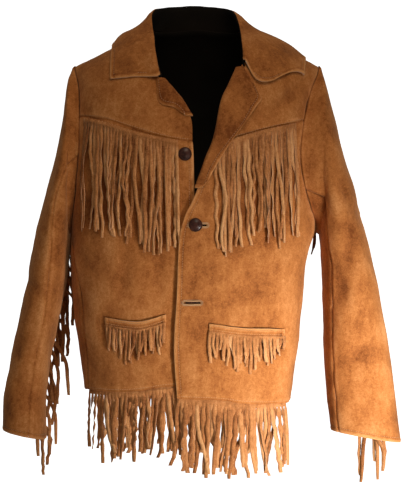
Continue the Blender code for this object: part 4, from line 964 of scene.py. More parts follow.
def sleeve(side, angle, along, lift=0.0):
    """Folded inner face of a sleeve; angle 0 is outermost, 90 the front, along is 0 to 12."""
    angle, along = np.broadcast_arrays(np.asarray(angle, float), np.asarray(along, float))
    place = smooth_sleeve(side, angle, along)
    step = 1e-3
    round_way = smooth_sleeve(side, angle + step, along) - smooth_sleeve(side, angle - step, along)
    down_way = (smooth_sleeve(side, angle, np.minimum(along + step, RINGS))
                - smooth_sleeve(side, angle, np.maximum(along - step, 0)))
    normal = np.cross(round_way, down_way) * SIGN[side]
    normal /= np.linalg.norm(normal, axis=-1, keepdims=True)
    face = np.where(np.sin(angle) > 0, "front", "back")
    fade = np.clip(along / FOLDS_FADE, 0, 1)
    move = fold_depth(SLEEVE_FOLDS, place[..., 0], place[..., 2], face, side) * fade + lift
    return place + normal * move[..., None]


def read_sleeve(side, key, along):
    """A column of a sleeve's table, read at distances along the tube."""
    return smooth(np.arange(1, RINGS + 1), SLEEVE[side][key], along)


def smooth_sleeve(side, angle, along):
    """Smooth inner face of a sleeve: the armhole's line, then leaning ovals."""
    sign = SIGN[side]
    read = {key: read_sleeve(side, key, along) for key in SLEEVE[side]}
    out_x = read["out_x"] - sign * WALL
    in_x = read["in_x"] + sign * WALL
    up, fore = np.cos(angle), np.sin(angle)
    up = np.sign(up) * np.abs(up) ** TUBE_POWER
    fore = np.sign(fore) * np.abs(fore) ** TUBE_POWER
    x = (out_x + in_x) / 2 + up * (out_x - in_x) / 2
    z = (read["out_z"] + read["in_z"]) / 2 + up * (read["out_z"] - read["in_z"]) / 2
    middle = (read["front"] + read["back"]) / 2
    half = (read["back"] - read["front"]) / 2 - WALL
    tube = np.stack([x, middle - fore * half, z], -1)
    head = armhole_point(side, angle)
    blend = np.clip(along, 0, 1)[..., None]
    return head * (1 - blend) + tube * blend


def armhole_point(side, angle):
    """The armhole's edge on the body, moved out by the gap that the sleeve keeps."""
    top, foot = SHOULDER_TIP_Z - WALL, PIT_Z
    z = (top + foot) / 2 + np.cos(angle) * (top - foot) / 2
    front = armhole_turn(z, "front")
    back = 2 - armhole_turn(z, "back")
    turn = np.where(np.sin(angle) >= 0, front, back)
    centre = smooth(BODY["z"], BODY["centre"], z)
    x = centre + SIGN[side] * (smooth(BODY["z"], BODY["half_width"], z) - WALL) * section(turn)[0]
    place = smooth_body(SIGN[side] * turn, drop_at(x, z), 0.0)
    place[..., 0] += SIGN[side] * ARMHOLE_GAP
    return place


SLEEVE_LENGTH = 0.64
SLEEVE_STEP_DOWN, SLEEVE_STEP_ROUND = 0.0065, 0.0058
# Roughly how wide each half is, which sets how many columns it gets
SLEEVE_HALF = {"upper": 0.26, "under": 0.13}
# The row turned in at the armhole: way back up the sleeve, and depth in millimetres
TUCK_UP, TUCK_IN = 0.0045, 2.6
TUCK_SHADE = 0.8


def sleeve_pieces(side, seed):
    """Upper and under sleeve between the front and back seams."""
    along = spread(SLEEVE_LENGTH, SLEEVE_STEP_DOWN) * RINGS
    front = np.radians(read_sleeve(side, "front_seam", along))
    back = np.radians(read_sleeve(side, "back_seam", along))
    gap = SLEEVE_SEAM_ANGLE

    def laid_under(angle, lift):
        """The half's grid with one more row, turned in under the body's edge at the armhole."""
        lift = np.concatenate([lift[1:2], lift[1:]]) if np.ndim(lift) else lift
        grid = sleeve(side, angle, along[:, None], lift[1:] if np.ndim(lift) else lift)
        first = grid[0] - grid[2]
        first /= np.linalg.norm(first, axis=-1, keepdims=True)
        out = sleeve(side, angle[:1], along[:1, None], 0.001) - sleeve(side, angle[:1], along[:1, None], 0.0)
        return np.concatenate([(grid[0] + first * TUCK_UP - out[0] * TUCK_IN)[None], grid])

    pieces = []
    for half, start, end in (("upper", gap - back, front - gap),
                             ("under", front + gap, 2 * math.pi - back - gap)):
        f = spread(SLEEVE_HALF[half], SLEEVE_STEP_ROUND)
        angle = start[:, None] * (1 - f) + end[:, None] * f
        plain = sleeve(side, angle, along[:, None])
        face = np.where(np.sin(angle) > 0, "front", "back")
        # Painted shade in the sleeve's crease troughs, paler ridges, and painted shade on the tucked row
        tone = fold_depth(SLEEVE_FOLDS, plain[..., 0], plain[..., 2], face, side) * FOLD_SHADE_AND_WEAR
        tone = np.concatenate([tone[:1] - TUCK_SHADE, tone])
        pieces.append(panel(f"suede_sleeve_{side}_{half}", lambda lift: laid_under(angle, lift),
                            ("sewn", "free", "sewn", "sewn"), seed + len(pieces), flip=side == "right",
                            folds=tone))
    return pieces


sleeve_right_upper, sleeve_right_under = sleeve_pieces("right", 41)
sleeve_left_upper, sleeve_left_under = sleeve_pieces("left", 51)
print("sleeves:", spans_of("sleeve"))

# %% [markdown]
# The collar is one folded band: its stand climbs inside the neckline, rolls over, and the fall lies on the
# yokes. The lapels are the fronts themselves, turned back at the roll, so their grid starts behind the
# front's edge, goes round it and out over the panel.

# %% Collar and lapel tables
# Collar, from the wearer's right end round the back to the left end: the seam on the
# neckline, the roll in space, and the middle and outer edge of the fall in plan
COLLAR = {
    "neck_x": (-0.0660, -0.0800, -0.0870, -0.0870, -0.0560, 0.0000, 0.0560, 0.0870, 0.0870,
               0.0820, 0.0800),
    "neck_y": (-0.1000, -0.0760, -0.0430, -0.0020, 0.0440, 0.0610, 0.0440, -0.0020, -0.0430,
               -0.0740, -0.0960),
    "roll_x": (-0.0625, -0.0700, -0.0758, -0.0786, -0.0540, -0.0040, 0.0480, 0.0680, 0.0763,
               0.0785, 0.0790),
    "roll_y": (-0.1100, -0.0960, -0.0530, -0.0050, 0.0440, 0.0600, 0.0450, 0.0000, -0.0430,
               -0.0800, -0.1000),
    "roll_z": (-0.0530, -0.0200, 0.0240, 0.0660, 0.0800, 0.0840, 0.0790, 0.0640, 0.0310,
               0.0030, -0.0260),
    "mid_x":  (-0.1030, -0.1060, -0.1080, -0.1100, -0.0850, -0.0050, 0.0900, 0.1260, 0.1320,
               0.1290, 0.1060),
    "mid_y":  (-0.1000, -0.0800, -0.0440, -0.0040, 0.0610, 0.0730, 0.0610, 0.0020, -0.0370,
               -0.0700, -0.1000),
    "rise":   (0.0000, 0.0010, 0.0050, 0.0100, 0.0080, 0.0030, 0.0080, 0.0080, 0.0050, 0.0030,
               0.0030),
    "edge_x": (-0.1450, -0.1455, -0.1450, -0.1430, -0.1200, -0.0050, 0.1300, 0.1830, 0.1860,
               0.1845, 0.1810),
    "edge_y": (-0.0855, -0.0620, -0.0320, -0.0020, 0.0620, 0.0800, 0.0620, 0.0060, -0.0150,
               -0.0310, -0.0525),
}
# Rows across the collar: the seam, a place inside the roll, the roll, a place outside it,
# the middle of the fall and its edge
COLLAR_MARKS = (0.0, 0.30, 0.42, 0.52, 0.76, 1.0)
STEEP_FROM = 0.055
STEEP_TO = 0.090

# Turned-back lapels, from the lower end of the roll up: roll and free edge
LAPEL = {
    "right": {
        "roll_x":    (-0.0115, -0.0268, -0.0421, -0.0590),
        "roll_z":    (-0.1240, -0.0997, -0.0790, -0.0600),
        "free_x":    (-0.0245, -0.0400, -0.0630, -0.0690),
        "free_z":    (-0.1210, -0.1100, -0.1020, -0.0660),
        "lift":      (0.0048, 0.0056, 0.0062, 0.0056),
        "free_lift": (0.0042, 0.0050, 0.0056, 0.0050),
    },
    "left": {
        "roll_x":    (0.0020, 0.0188, 0.0289, 0.0357, 0.0476, 0.0590, 0.0715),
        "roll_z":    (-0.2460, -0.1986, -0.1733, -0.1478, -0.0970, -0.0710, -0.0415),
        "free_x":    (0.0165, 0.0345, 0.0558, 0.0828, 0.0998, 0.1080, 0.0975),
        "free_z":    (-0.2375, -0.2040, -0.1687, -0.1313, -0.1073, -0.0940, -0.0735),
        "lift":      (0.0060, 0.0090, 0.0100, 0.0100, 0.0080, 0.0066, 0.0056),
        "free_lift": (0.0060, 0.0085, 0.0095, 0.0095, 0.0072, 0.0050, 0.0036),
    },
}
LAPEL_COLUMNS = {"right": 4, "left": 6}
# Columns round the roll of a lapel: distance past the front's edge, share of the lift and
# depth behind the panel
LAPEL_ROLL = {
    "past":   (-0.0090, -0.0010, 0.0058, 0.0030, -0.0060),
    "share":  (0.0, 0.0, 0.25, 0.85, 1.0),
    "behind": (0.0044, 0.0044, 0.0, 0.0, 0.0),
}

# %% [markdown]
# The six lines of the table are joined by a cubic curve across the band. Where the fall lies on the yokes
# its points are found on the shoulders themselves, so the collar follows them without touching.

# %% Collar
def laid_collar(x, y, z, lift):
    """Places on the shoulders under the collar: read from above, or from the front where
    the chest is steep."""
    steep = np.clip((-y - STEEP_FROM) / (STEEP_TO - STEEP_FROM), 0, 1)[..., None]
    return over_shoulder(x, y, lift) * (1 - steep) + on_body(x, z, lift) * steep


def collar_grid(rows, at, lift):
    """Six lines along the band, joined across it by a cubic curve; the fall follows the shoulders."""
    stations = np.linspace(0, 1, len(COLLAR["neck_x"]))
    row = {key: smooth(stations, values, at) for key, values in COLLAR.items()}
    neck = over_shoulder(row["neck_x"], row["neck_y"], WALL + 0.0026)
    roll = np.stack([row["roll_x"], row["roll_y"], row["roll_z"]], -1)
    gentle = np.clip((row["mid_y"] + 0.090) / 0.030, 0, 1)
    edge = over_shoulder(row["edge_x"], row["edge_y"], 0)
    mid = over_shoulder(row["mid_x"], row["mid_y"], (COLLAR_LIFT + row["rise"]) * gentle)
    mid[:, 2] -= 0.005 * (1 - gentle) * (row["mid_x"] > 0)
    away = roll - np.array([0.0, -0.03, 0.0])
    away[:, 2] = 0
    away /= np.linalg.norm(away, axis=-1, keepdims=True)
    neck = neck - away * 0.002
    inner = roll - away * 0.003 - np.array([0, 0, 0.005])
    outer = roll + away * 0.006 - np.array([0, 0, 0.003])
    outer = outer * (1 - 0.35 * gentle[:, None]) + (roll * 0.7 + mid * 0.3) * 0.35 * gentle[:, None]
    marks = np.stack([neck, inner, roll, outer, mid, edge])
    points = np.stack([np.stack([smooth(COLLAR_MARKS, marks[:, i, axis], rows) for axis in range(3)], -1)
                       for i in range(len(at))], 1)
    rise = np.sin(math.pi * np.clip((rows - COLLAR_MARKS[3]) / (1 - COLLAR_MARKS[3]), 0, 1))
    lift_there = COLLAR_LIFT + rise[:, None] * row["rise"]
    laid = laid_collar(points[..., 0], points[..., 1], points[..., 2], lift_there)
    share = np.clip((rows - COLLAR_MARKS[3]) / (COLLAR_MARKS[4] - COLLAR_MARKS[3]), 0, 1)[:, None, None]
    points = points * (1 - share) + laid * share
    return points + normals(points) * (lift * np.ones(points.shape[:2]))[..., None]


def normals(points):
    """Unit normals of a grid, from its differences along rows and columns."""
    way = np.cross(np.gradient(points, axis=1), np.gradient(points, axis=0))
    return way / np.maximum(np.linalg.norm(way, axis=-1, keepdims=True), 1e-9)


COLLAR_GRID = {"across": (0.15, 0.0050), "along": (0.78, 0.0070)}
collar_rows = spread(*COLLAR_GRID["across"], start=False)
collar_at = spread(*COLLAR_GRID["along"])
collar = panel("suede_collar", lambda lift: collar_grid(collar_rows, collar_at, lift),
               ("none", "free", "free", "free"), 61, wall=COLLAR_WALL, outward=False,
               materials=(SUEDE, SUEDE, RAW_EDGE, LINING, LINING, LINING))
# The stand's faces take the near-black lining colour: painted shade on the inside of the collar
stand_faces = np.repeat(collar_rows[1:] < COLLAR_MARKS[2] - 0.02, len(collar_at) - 1)
collar.data.polygons.foreach_set("material_index", stand_faces.astype(np.int32) * 3)
print("collar:", tuple(round(s, 3) for s in SPANS["suede_collar"]))

# %% [markdown]
# A lapel starts behind the front's edge, rolls round it and lies out over the panel. A coarse grid gives the
# roll, and a cubic curve reads it finely enough for the stitch row.

# %% Lapels
def finer(points, share):
    """A cubic curve through the columns of a coarse grid, read at shares of its width."""
    keys = np.linspace(0, 1, points.shape[1])
    flat = points.transpose(1, 0, 2).reshape(points.shape[1], -1)
    slope = np.gradient(flat, keys, axis=0)
    left = np.clip(np.searchsorted(keys, share, side="right") - 1, 0, len(keys) - 2)
    span = (keys[left + 1] - keys[left])[:, None]
    f = (share - keys[left])[:, None] / span
    read = ((1 + 2 * f) * (1 - f) ** 2 * flat[left] + f * (1 - f) ** 2 * span * slope[left]
            + f * f * (3 - 2 * f) * flat[left + 1] + f * f * (f - 1) * span * slope[left + 1])
    return read.reshape(len(share), -1, 3).transpose(1, 0, 2)


def lapel_grid(side, rows, across, lift):
    """Columns behind the panel, round the roll and out to the free edge, then read finer."""
    table = LAPEL[side]
    count = len(table["roll_x"])
    row = {key: smooth(np.arange(count), values, rows * (count - 1)) for key, values in table.items()}
    sign, over = SIGN[side], OVER[side]
    columns = []
    for past, share, behind in zip(*LAPEL_ROLL.values()):
        up = row["lift"] * share - behind
        columns.append(on_body(row["roll_x"] - sign * past, row["roll_z"], up, over=over))
    start_x = row["roll_x"] - sign * LAPEL_ROLL["past"][-1]
    for f in np.linspace(0, 1, LAPEL_COLUMNS[side])[1:]:
        x = start_x * (1 - f) + row["free_x"] * f
        z = row["roll_z"] * (1 - f) + row["free_z"] * f
        up = row["lift"] * (1 - f) + row["free_lift"] * f + 0.0012 * math.sin(math.pi * f)
        columns.append(on_body(x, z, up, over=over))
    points = finer(np.stack(columns, 1), across)
    out = normals(points) * SIGN[side]
    return points + out * (lift * np.ones(points.shape[:2]))[..., None]


def lapel(side, seed, length, width):
    """One lapel on a grid of a given length and width."""
    rows, across = spread(length, 0.004), spread(width, 0.0035, start=False)
    # The lapel's face is painted darker as shade, turned away from the light
    return panel(f"suede_lapel_{side}", lambda lift: lapel_grid(side, rows, across, lift),
                 ("free", "none", "none", "free"), seed, flip=side == "right", outward=False, painted_shade=-0.30,
                 materials=(SUEDE, SUEDE, RAW_EDGE))


lapel_right = lapel("right", 71, 0.085, 0.05)
lapel_left = lapel("left", 72, 0.20, 0.09)
print("lapels:", spans_of("lapel"))

# %% [markdown]
# The pocket flaps are laid on the fronts. Each sags a little at its upper edge, which stands off the front
# and throws the dark line of the pocket mouth.

# %% Pocket flaps
FLAP_DEPTH = 0.012


def flap_foot(table):
    """The line where the flap's strands begin, a little below its upper edge."""
    return lambda x: smooth(table["x"], table["top"], x) - FLAP_DEPTH


def pocket(side, seed):
    """Upper and lower lines of a flap on the front; the upper edge bows outward."""
    table = POCKET[side]
    share = spread(0.13, 0.0045)
    x = table["x"][0] + (table["x"][-1] - table["x"][0]) * share
    top, foot = smooth(table["x"], table["top"], x), flap_foot(table)(x)
    f = spread(FLAP_DEPTH, 0.002)[:, None]
    z = foot * (1 - f) + top * f
    bow = LAID + 0.0005 + 0.0035 * f ** 2 * np.sin(math.pi * (0.05 + 0.90 * share))
    wide = np.broadcast_to(x, z.shape)
    return panel(f"suede_pocket_{side}", lambda lift: on_body(wide, z, bow + lift, over=OVER[side]),
                 ("sewn", "free", "free", "free"), seed)


pocket_right, pocket_left = pocket("right", 81), pocket("left", 82)
print("pocket flaps:", spans_of("pocket"))

# %% [markdown]
# Fringe is one piece of hide cut into strands below a narrow strip that the seam holds. All strands of a
# fringe are worked out at once: every strand has its own lean, wave, twist, width and length, drawn from a
# seeded generator, and the twist turns its cut edge to the light.

# %% Strands
def ribbons(centre, way, out, half, twist):
    """Two edges of each strand: the centre line, and half the width along a turning direction."""
    across = way * np.cos(twist)[..., None] + out * np.sin(twist)[..., None]
    return np.stack([centre - across * half[..., None], centre + across * half[..., None]], -2)


def fringe(name, top, foot, strands, seed):
    """Strip and strands in one open surface: top and foot (strand, 2, 3), strands (strand, row, 2, 3)."""
    count, rows = strands.shape[:2]
    width = 2 * count
    points = np.concatenate([top.reshape(-1, 3), foot.reshape(-1, 3), strands.reshape(-1, 3)])
    i = np.arange(width - 1)
    strip = np.stack([width + i, width + i + 1, i + 1, i], -1)
    number = np.arange(count)[:, None]
    row = np.arange(rows)[None, :]
    first = 2 * width + (number * rows + row) * 2
    above = np.where(row == 0, width + 2 * number, first - 2)
    quads = np.stack([first, first + 1, above + 1, above], -1).reshape(-1, 4)
    random = np.random.default_rng(seed)
    # Each strand gets a random tone, darker towards the root; the strip is darker as well
    tone = random.normal(0, 0.22, count)[:, None, None] + np.linspace(-0.1, 0.12, rows)[None, :, None]
    wear_and_shade = np.concatenate([np.zeros(2 * width) - 0.1, (tone + np.zeros((count, rows, 2))).ravel()])
    made = surface(name, points, np.concatenate([strip, quads]), (STRANDS, STRANDS, RAW_EDGE), STRAND_WALL,
                   wear_and_shade)
    edge = np.linalg.norm(strands[:, :, 1] - strands[:, :, 0], axis=-1)[:, 1:]
    step = np.linalg.norm(np.diff(strands.mean(2), axis=1), axis=-1)
    top_length = np.linalg.norm(np.diff(top.reshape(-1, 3), axis=0), axis=-1).sum()
    AREAS[name] = float((edge * step).sum() + np.linalg.norm(top - foot, axis=-1).mean() * top_length)
    SPANS[name] = (float(top_length), float(np.linalg.norm(top[:, 0] - strands[:, -1, 0], axis=-1).max()))
    return made


def strand_draws(count, rows, seed, lean, wave, twist):
    """Sideways drift, twist and width factor of every strand at every row."""
    random = np.random.default_rng(seed)
    f = np.linspace(0, 1, rows + 1)[1:]
    side = random.normal(0, lean, count)[:, None] * f ** 1.5
    size = random.normal(0, wave, count)[:, None]
    turns = random.uniform(0.9, 2.4, count)[:, None] * f + random.uniform(0, 1, count)[:, None]
    side += size * np.sin(math.pi * turns) * np.minimum(1, 2 * f)
    clumps = random.normal(0, lean * 0.45, count // 3 + 3)
    shared = np.interp(np.arange(count) / 3, np.arange(len(clumps)), clumps)
    side += shared[:, None] * np.sin(math.pi * np.minimum(1, 0.65 * f + 0.15))
    side -= shared[:, None] * math.sin(0.15 * math.pi) * (1 - f)
    ripple = random.uniform(3.0, 7.0, count)[:, None] * f + random.uniform(0, 1, count)[:, None]
    size = random.normal(0, wave * 0.26, count)[:, None]
    side += size * np.sin(2 * math.pi * ripple) * np.minimum(1, 4 * f)
    turn = random.normal(0, twist, count)[:, None] * f
    turn = turn + random.normal(0, twist / 2, count)[:, None] * np.sin(4 * f)
    turn += random.normal(0, twist * 0.6, count)[:, None] * np.sin(2 * math.pi * ripple * 0.7)
    width = random.uniform(0.82, 1.18, count)[:, None] * (1 - 0.30 * f ** 4)
    return f, side, np.clip(turn, -1.25, 1.25), width


def laid_fringe(name, xs, root_z, end_z, strip, width, rows, seed, lifts, side, lean, twist):
    """Fringe that hangs over a front; three layers take turns, so that strands may cross."""
    count = len(xs)
    f, drift, turn, factor = strand_draws(count, rows, seed, lean, lean * 0.6, twist)
    random = np.random.default_rng(seed + 500)
    z0 = root_z(xs) - SEAM
    z1 = end_z(xs) + random.normal(0, 0.0065, count)
    half = width / 2
    over = OVER[side]
    pair = xs[:, None] + np.array([-0.46, 0.46]) * min(width, abs(xs[1] - xs[0]))
    top = on_body(pair, np.repeat(z0[:, None], 2, 1), lifts[0] + 0.0009, over=over)
    foot = on_body(pair, np.repeat(z0[:, None] - strip, 2, 1), lifts[0] + 0.0009, over=over)
    x = xs[:, None] + drift
    z = z0[:, None] - strip + (z1 - z0 + strip)[:, None] * f
    layer = np.asarray(lifts[1:])[np.arange(count) * 2 % 3][:, None]
    lift = lifts[0] + (layer - lifts[0]) * np.minimum(1, 3 * f)
    lift = lift + np.abs(np.sin(turn)) * half * 0.5
    centre = on_body(x, z, lift, over=over)
    way = on_body(x + 0.001, z, lift, over=over) - on_body(x - 0.001, z, lift, over=over)
    way /= np.linalg.norm(way, axis=-1, keepdims=True)
    out = on_body(x, z, lift + 0.001, over=over) - centre
    out /= np.linalg.norm(out, axis=-1, keepdims=True)
    return fringe(name, top, foot, ribbons(centre, way, out, half * factor, turn), seed)

# %% [markdown]
# The long chest fringe is caught in the yoke seam. Its ends make an uneven point, longest in the middle of
# the chest.

# %% Chest and pocket fringe
def line(table, key):
    """A table's column as a function of x."""
    return lambda x: smooth(table["x"], table[key], x)


# Heights off the front: the strip, then the three layers of strands
CHEST_LIFTS = (LAID + 0.0003, LAID + 0.0012, LAID + 0.0026, LAID + 0.0044)
POCKET_LIFTS = (LAID + 0.0003, LAID + 0.0010, LAID + 0.0020, LAID + 0.0030)
CHEST_ROWS, POCKET_ROWS = 22, 12
CHEST_LEAN, CHEST_TWIST = 0.0052, 0.50
POCKET_LEAN, POCKET_TWIST = 0.0022, 0.35
POCKET_STRIP, POCKET_STRAND = 0.003, 0.0058

fringe_chest_right = laid_fringe(
    "strands_chest_right", np.linspace(-0.188, -0.034, 29), line(RIGHT_YOKE, "z"),
    line(RIGHT_CHEST_ENDS, "z"), STRIP, 0.0062, CHEST_ROWS, 101, CHEST_LIFTS, "right", CHEST_LEAN,
    CHEST_TWIST)
fringe_chest_left = laid_fringe(
    "strands_chest_left", np.linspace(0.032, 0.164, 26), line(LEFT_YOKE, "z"),
    line(LEFT_CHEST_ENDS, "z"), STRIP, 0.0060, CHEST_ROWS, 102, CHEST_LIFTS, "left", CHEST_LEAN,
    CHEST_TWIST)
fringe_pocket_right = laid_fringe(
    "strands_pocket_right", np.linspace(-0.152, -0.055, 18), flap_foot(RIGHT_POCKET),
    line(RIGHT_POCKET_ENDS, "z"), POCKET_STRIP, POCKET_STRAND, POCKET_ROWS, 103, POCKET_LIFTS, "right",
    POCKET_LEAN, POCKET_TWIST)
fringe_pocket_left = laid_fringe(
    "strands_pocket_left", np.linspace(0.022, 0.146, 23), flap_foot(LEFT_POCKET),
    line(LEFT_POCKET_ENDS, "z"), POCKET_STRIP, POCKET_STRAND, POCKET_ROWS, 104, POCKET_LIFTS, "left",
    POCKET_LEAN, POCKET_TWIST)
print("laid fringes: 4")

# %% [markdown]
# The hem fringe hangs free. The strip follows the hem round the body, and below it each strand hangs plumb
# from its root with only its own drift and twist.

# %% Hem fringe
HEM_ROWS = 15
HEM_LEAN, HEM_WAVE, HEM_TWIST = 0.0090, 0.0036, 0.45
# Layers step outward by this much, and the ends are cut unevenly
HEM_LAYER, HEM_RAGGED = 0.0030, 0.008


def hem_fringe(name, xs, face, hem_z, end_z, over, seed, width=0.0084):
    """Strip below the hem and plumb strands; out is the level direction away from the body."""
    count = len(xs)
    f, drift, turn, factor = strand_draws(count, HEM_ROWS, seed, HEM_LEAN, HEM_WAVE, HEM_TWIST)
    random = np.random.default_rng(seed + 500)
    z0 = hem_z(xs) - SEAM
    z1 = end_z(xs) + random.normal(0, HEM_RAGGED, count)
    half = width / 2
    centre = on_body(xs, z0 + 0.003, -0.0014, face, over)
    low = on_body(xs, z0 - STRIP, 0, face, over)
    way = on_body(xs + 0.002, z0, 0, face, over) - on_body(xs - 0.002, z0, 0, face, over)
    way[:, 2] = 0
    way /= np.linalg.norm(way, axis=-1, keepdims=True)
    if face == "back":
        way = -way
    out = np.stack([way[:, 1], -way[:, 0], 0 * xs], -1)
    step = (np.array([-0.46, 0.46]) * min(2 * half, abs(xs[1] - xs[0])))[None, :, None]
    top = centre[:, None] + way[:, None] * step
    foot = low[:, None] + way[:, None] * step
    lift = (HEM_LAYER * (np.arange(count) % 3) * np.minimum(1, 2.5 * f)[:, None]).T
    place = low[:, None] + way[:, None] * drift[..., None] + out[:, None] * lift[..., None]
    place[..., 2] = low[:, None, 2] + (z1 - low[:, 2])[:, None] * f
    pair = ribbons(place, way[:, None] + 0 * place, out[:, None] + 0 * place, half * factor, turn)
    return fringe(name, top, foot, pair, seed)


def back_hem_line(x):
    """Height of the back hem at every x."""
    size = np.abs(turn_at(x, np.full_like(x, BACK_HEM_Z), "front"))
    ends = np.where(x < BODY["centre"][0], RIGHT_HEM["z"][0], LEFT_HEM["z"][-1])
    return ends * size + BACK_HEM_Z * (1 - size)


fringe_hem_right = hem_fringe("strands_hem_right", np.linspace(-0.184, -0.038, 26), "front",
                              line(RIGHT_HEM, "z"), line(RIGHT_HEM_ENDS, "z"), 0.0, 111)
fringe_hem_left = hem_fringe("strands_hem_left", np.linspace(-0.031, 0.152, 31), "front",
                             line(LEFT_HEM, "z"), line(LEFT_HEM_ENDS, "z"), 1.0, 112)
fringe_hem_back = hem_fringe("strands_hem_back", np.linspace(0.138, -0.170, 32), "back", back_hem_line,
                             lambda x: back_hem_line(x) - BACK_HEM_STRAND, 0.0, 113, 0.0105)
print("hem fringes: 3")

# %% [markdown]
# The sleeve fringe is caught in the back seam. From the front it shows only where it hangs past the sleeve:
# each strand steps out of the seam, bends over and then hangs plumb.

# %% Sleeve fringe
SLEEVE_ROWS = 12
SLEEVE_LEAN, SLEEVE_WAVE, SLEEVE_TWIST = 0.0045, 0.0025, 0.4
SLEEVE_STRAND = 0.0070
# Rings of the tube where the roots begin and end; they crowd towards the cuff
FIRST_ROOT, LAST_ROOT, CROWDING = 3.9, RINGS - 0.12, 0.75
# Share of the sideways step that goes back under the sleeve
BACK_STEP = {"right": 0.12, "left": 0.28}


def sleeve_fringe(side, count, lanes, spacing, lengths, seed):
    """Roots along the back seam; the sideways step eases in over the upper part of the strand."""
    along = FIRST_ROOT + (LAST_ROOT - FIRST_ROOT) * np.linspace(0, 1, count) ** CROWDING
    seam = -np.radians(read_sleeve(side, "back_seam", along))
    f, drift, turn, factor = strand_draws(count, SLEEVE_ROWS, seed, SLEEVE_LEAN, SLEEVE_WAVE, SLEEVE_TWIST)
    spread_along = along[:, None] + np.array([-0.034, 0.034])
    seam_pair = np.repeat(seam[:, None], 2, 1)
    base = sleeve(side, seam_pair, spread_along, LAID + 0.0012)
    out = sleeve(side, seam_pair, spread_along, LAID + 0.0075)
    root = out.mean(1)
    number = np.arange(count)
    lane = (number * 5 % lanes) / (lanes - 1)
    lateral = (lane - BACK_STEP[side]) * spacing * (lanes - 1)
    behind = np.full(count, 0.005)
    if side == "left":
        behind = np.maximum(read_sleeve(side, "back", along) + 0.004 - root[:, 1], 0.004)
    random = np.random.default_rng(seed + 500)
    length = random.uniform(lengths[0], lengths[1], count)
    ease = np.minimum(1, 1.9 * f) ** 0.8
    place = np.repeat(root[:, None], SLEEVE_ROWS, 1)
    place[..., 0] += lateral[:, None] * ease + drift
    place[..., 1] += (behind + 0.004 * (number % 2))[:, None] * np.minimum(1, 3 * f)
    place[..., 2] -= length[:, None] * (f - 0.10 * np.sin(math.pi * np.minimum(1, 1.5 * f)))
    way, back_way = np.array([1.0, 0, 0]) + 0 * place, np.array([0, 1.0, 0]) + 0 * place
    level = np.clip(f * 5, 0, 1)[None, :, None]
    facing = np.where(lateral > 0, -1.0, 1.0)[:, None, None]
    side_way = facing * way * level - np.array([0, 0, 1.0]) * (1 - level)
    side_way /= np.linalg.norm(side_way, axis=-1, keepdims=True)
    strands = ribbons(place, side_way, back_way, SLEEVE_STRAND / 2 * factor, turn * level[..., 0])
    return fringe(f"strands_sleeve_{side}", base, out, strands, seed)


fringe_sleeve_right = sleeve_fringe("right", 31, 7, 0.0052, (0.065, 0.105), 121)
fringe_sleeve_left = sleeve_fringe("left", 31, 9, 0.0062, (0.070, 0.122), 122)
print("sleeve fringes: 2")

# %% [markdown]
# Every free edge is topstitched. A stitch is a small closed bead of thread; a row of them follows a line at
# a fixed distance inside a panel's edge, which the panel's own grid gives.

# %% Stitch rows
STITCH_PITCH = 0.0042
STITCH_LENGTH = 0.0031
THREAD_RADIUS = 0.00042


def inset_line(name, edge, inset, trim=0.004):
    """Points and normals at a distance inside an edge of a panel's outer face."""
    points, wall = GRIDS[name]
    grid = points if edge in ("left", "right") else points.transpose(1, 0, 2)
    if edge in ("right", "top"):
        grid = grid[:, ::-1]
    out = normals(points)
    out = out if edge in ("left", "right") else out.transpose(1, 0, 2)
    if edge in ("right", "top"):
        out = out[:, ::-1]
    far = run_length(grid, 1)
    left = np.clip((far < inset).sum(1) - 1, 0, grid.shape[1] - 2)
    rows = np.arange(len(grid))
    f = ((inset - far[rows, left]) / (far[rows, left + 1] - far[rows, left]))[:, None]
    place = grid[rows, left] * (1 - f) + grid[rows, left + 1] * f
    way = out[rows, left]
    place = place + way * (wall + 0.0001)
    run = run_length(place[:, None], 0)[:, 0]
    keep = (run > trim) & (run < run[-1] - trim)
    return place[keep], way[keep]


def stitch_places(place, way, pitch=STITCH_PITCH):
    """Centres, directions and normals of the stitches along a line, evenly spaced."""
    run = run_length(place[:, None], 0)[:, 0]
    at = np.arange(pitch / 2, run[-1], pitch)
    centre = np.stack([np.interp(at, run, place[:, axis]) for axis in range(3)], -1)
    ahead = np.stack([np.interp(at + 0.0005, run, place[:, axis]) for axis in range(3)], -1)
    behind = np.stack([np.interp(at - 0.0005, run, place[:, axis]) for axis in range(3)], -1)
    out = np.stack([np.interp(at, run, way[:, axis]) for axis in range(3)], -1)
    along = ahead - behind
    return centre, along / np.linalg.norm(along, axis=-1, keepdims=True), out


def beads(name, centre, along, out, length=STITCH_LENGTH, radius=THREAD_RADIUS):
    """One closed bead for every stitch: rings of six points that narrow to its ends."""
    side = np.cross(along, out)
    rings = np.array([(-0.5, 0.35), (-0.3, 0.95), (0.3, 0.95), (0.5, 0.35)])
    angle = np.arange(6) * math.pi / 3
    ring = (side[:, None] * np.cos(angle)[:, None] + out[:, None] * np.sin(angle)[:, None]) * radius
    body_points = (centre[:, None, None] + along[:, None, None] * (rings[:, 0] * length)[:, None, None]
                   + ring[:, None] * rings[:, 1][:, None, None])
    count = len(centre)
    i, k = np.meshgrid(np.arange(3), np.arange(6), indexing="ij")
    after = (k + 1) % 6
    quads = np.stack([i * 6 + k, i * 6 + after, (i + 1) * 6 + after, (i + 1) * 6 + k], -1).reshape(-1, 4)
    caps = np.array([(3, 2, 1, 0), (5, 4, 3, 0), (18, 19, 20, 21), (18, 21, 22, 23)])
    faces = (np.concatenate([quads, caps])[None] + 24 * np.arange(count)[:, None, None]).reshape(-1, 4)
    return surface(name, body_points.reshape(-1, 3), faces, (THREAD,), 0)


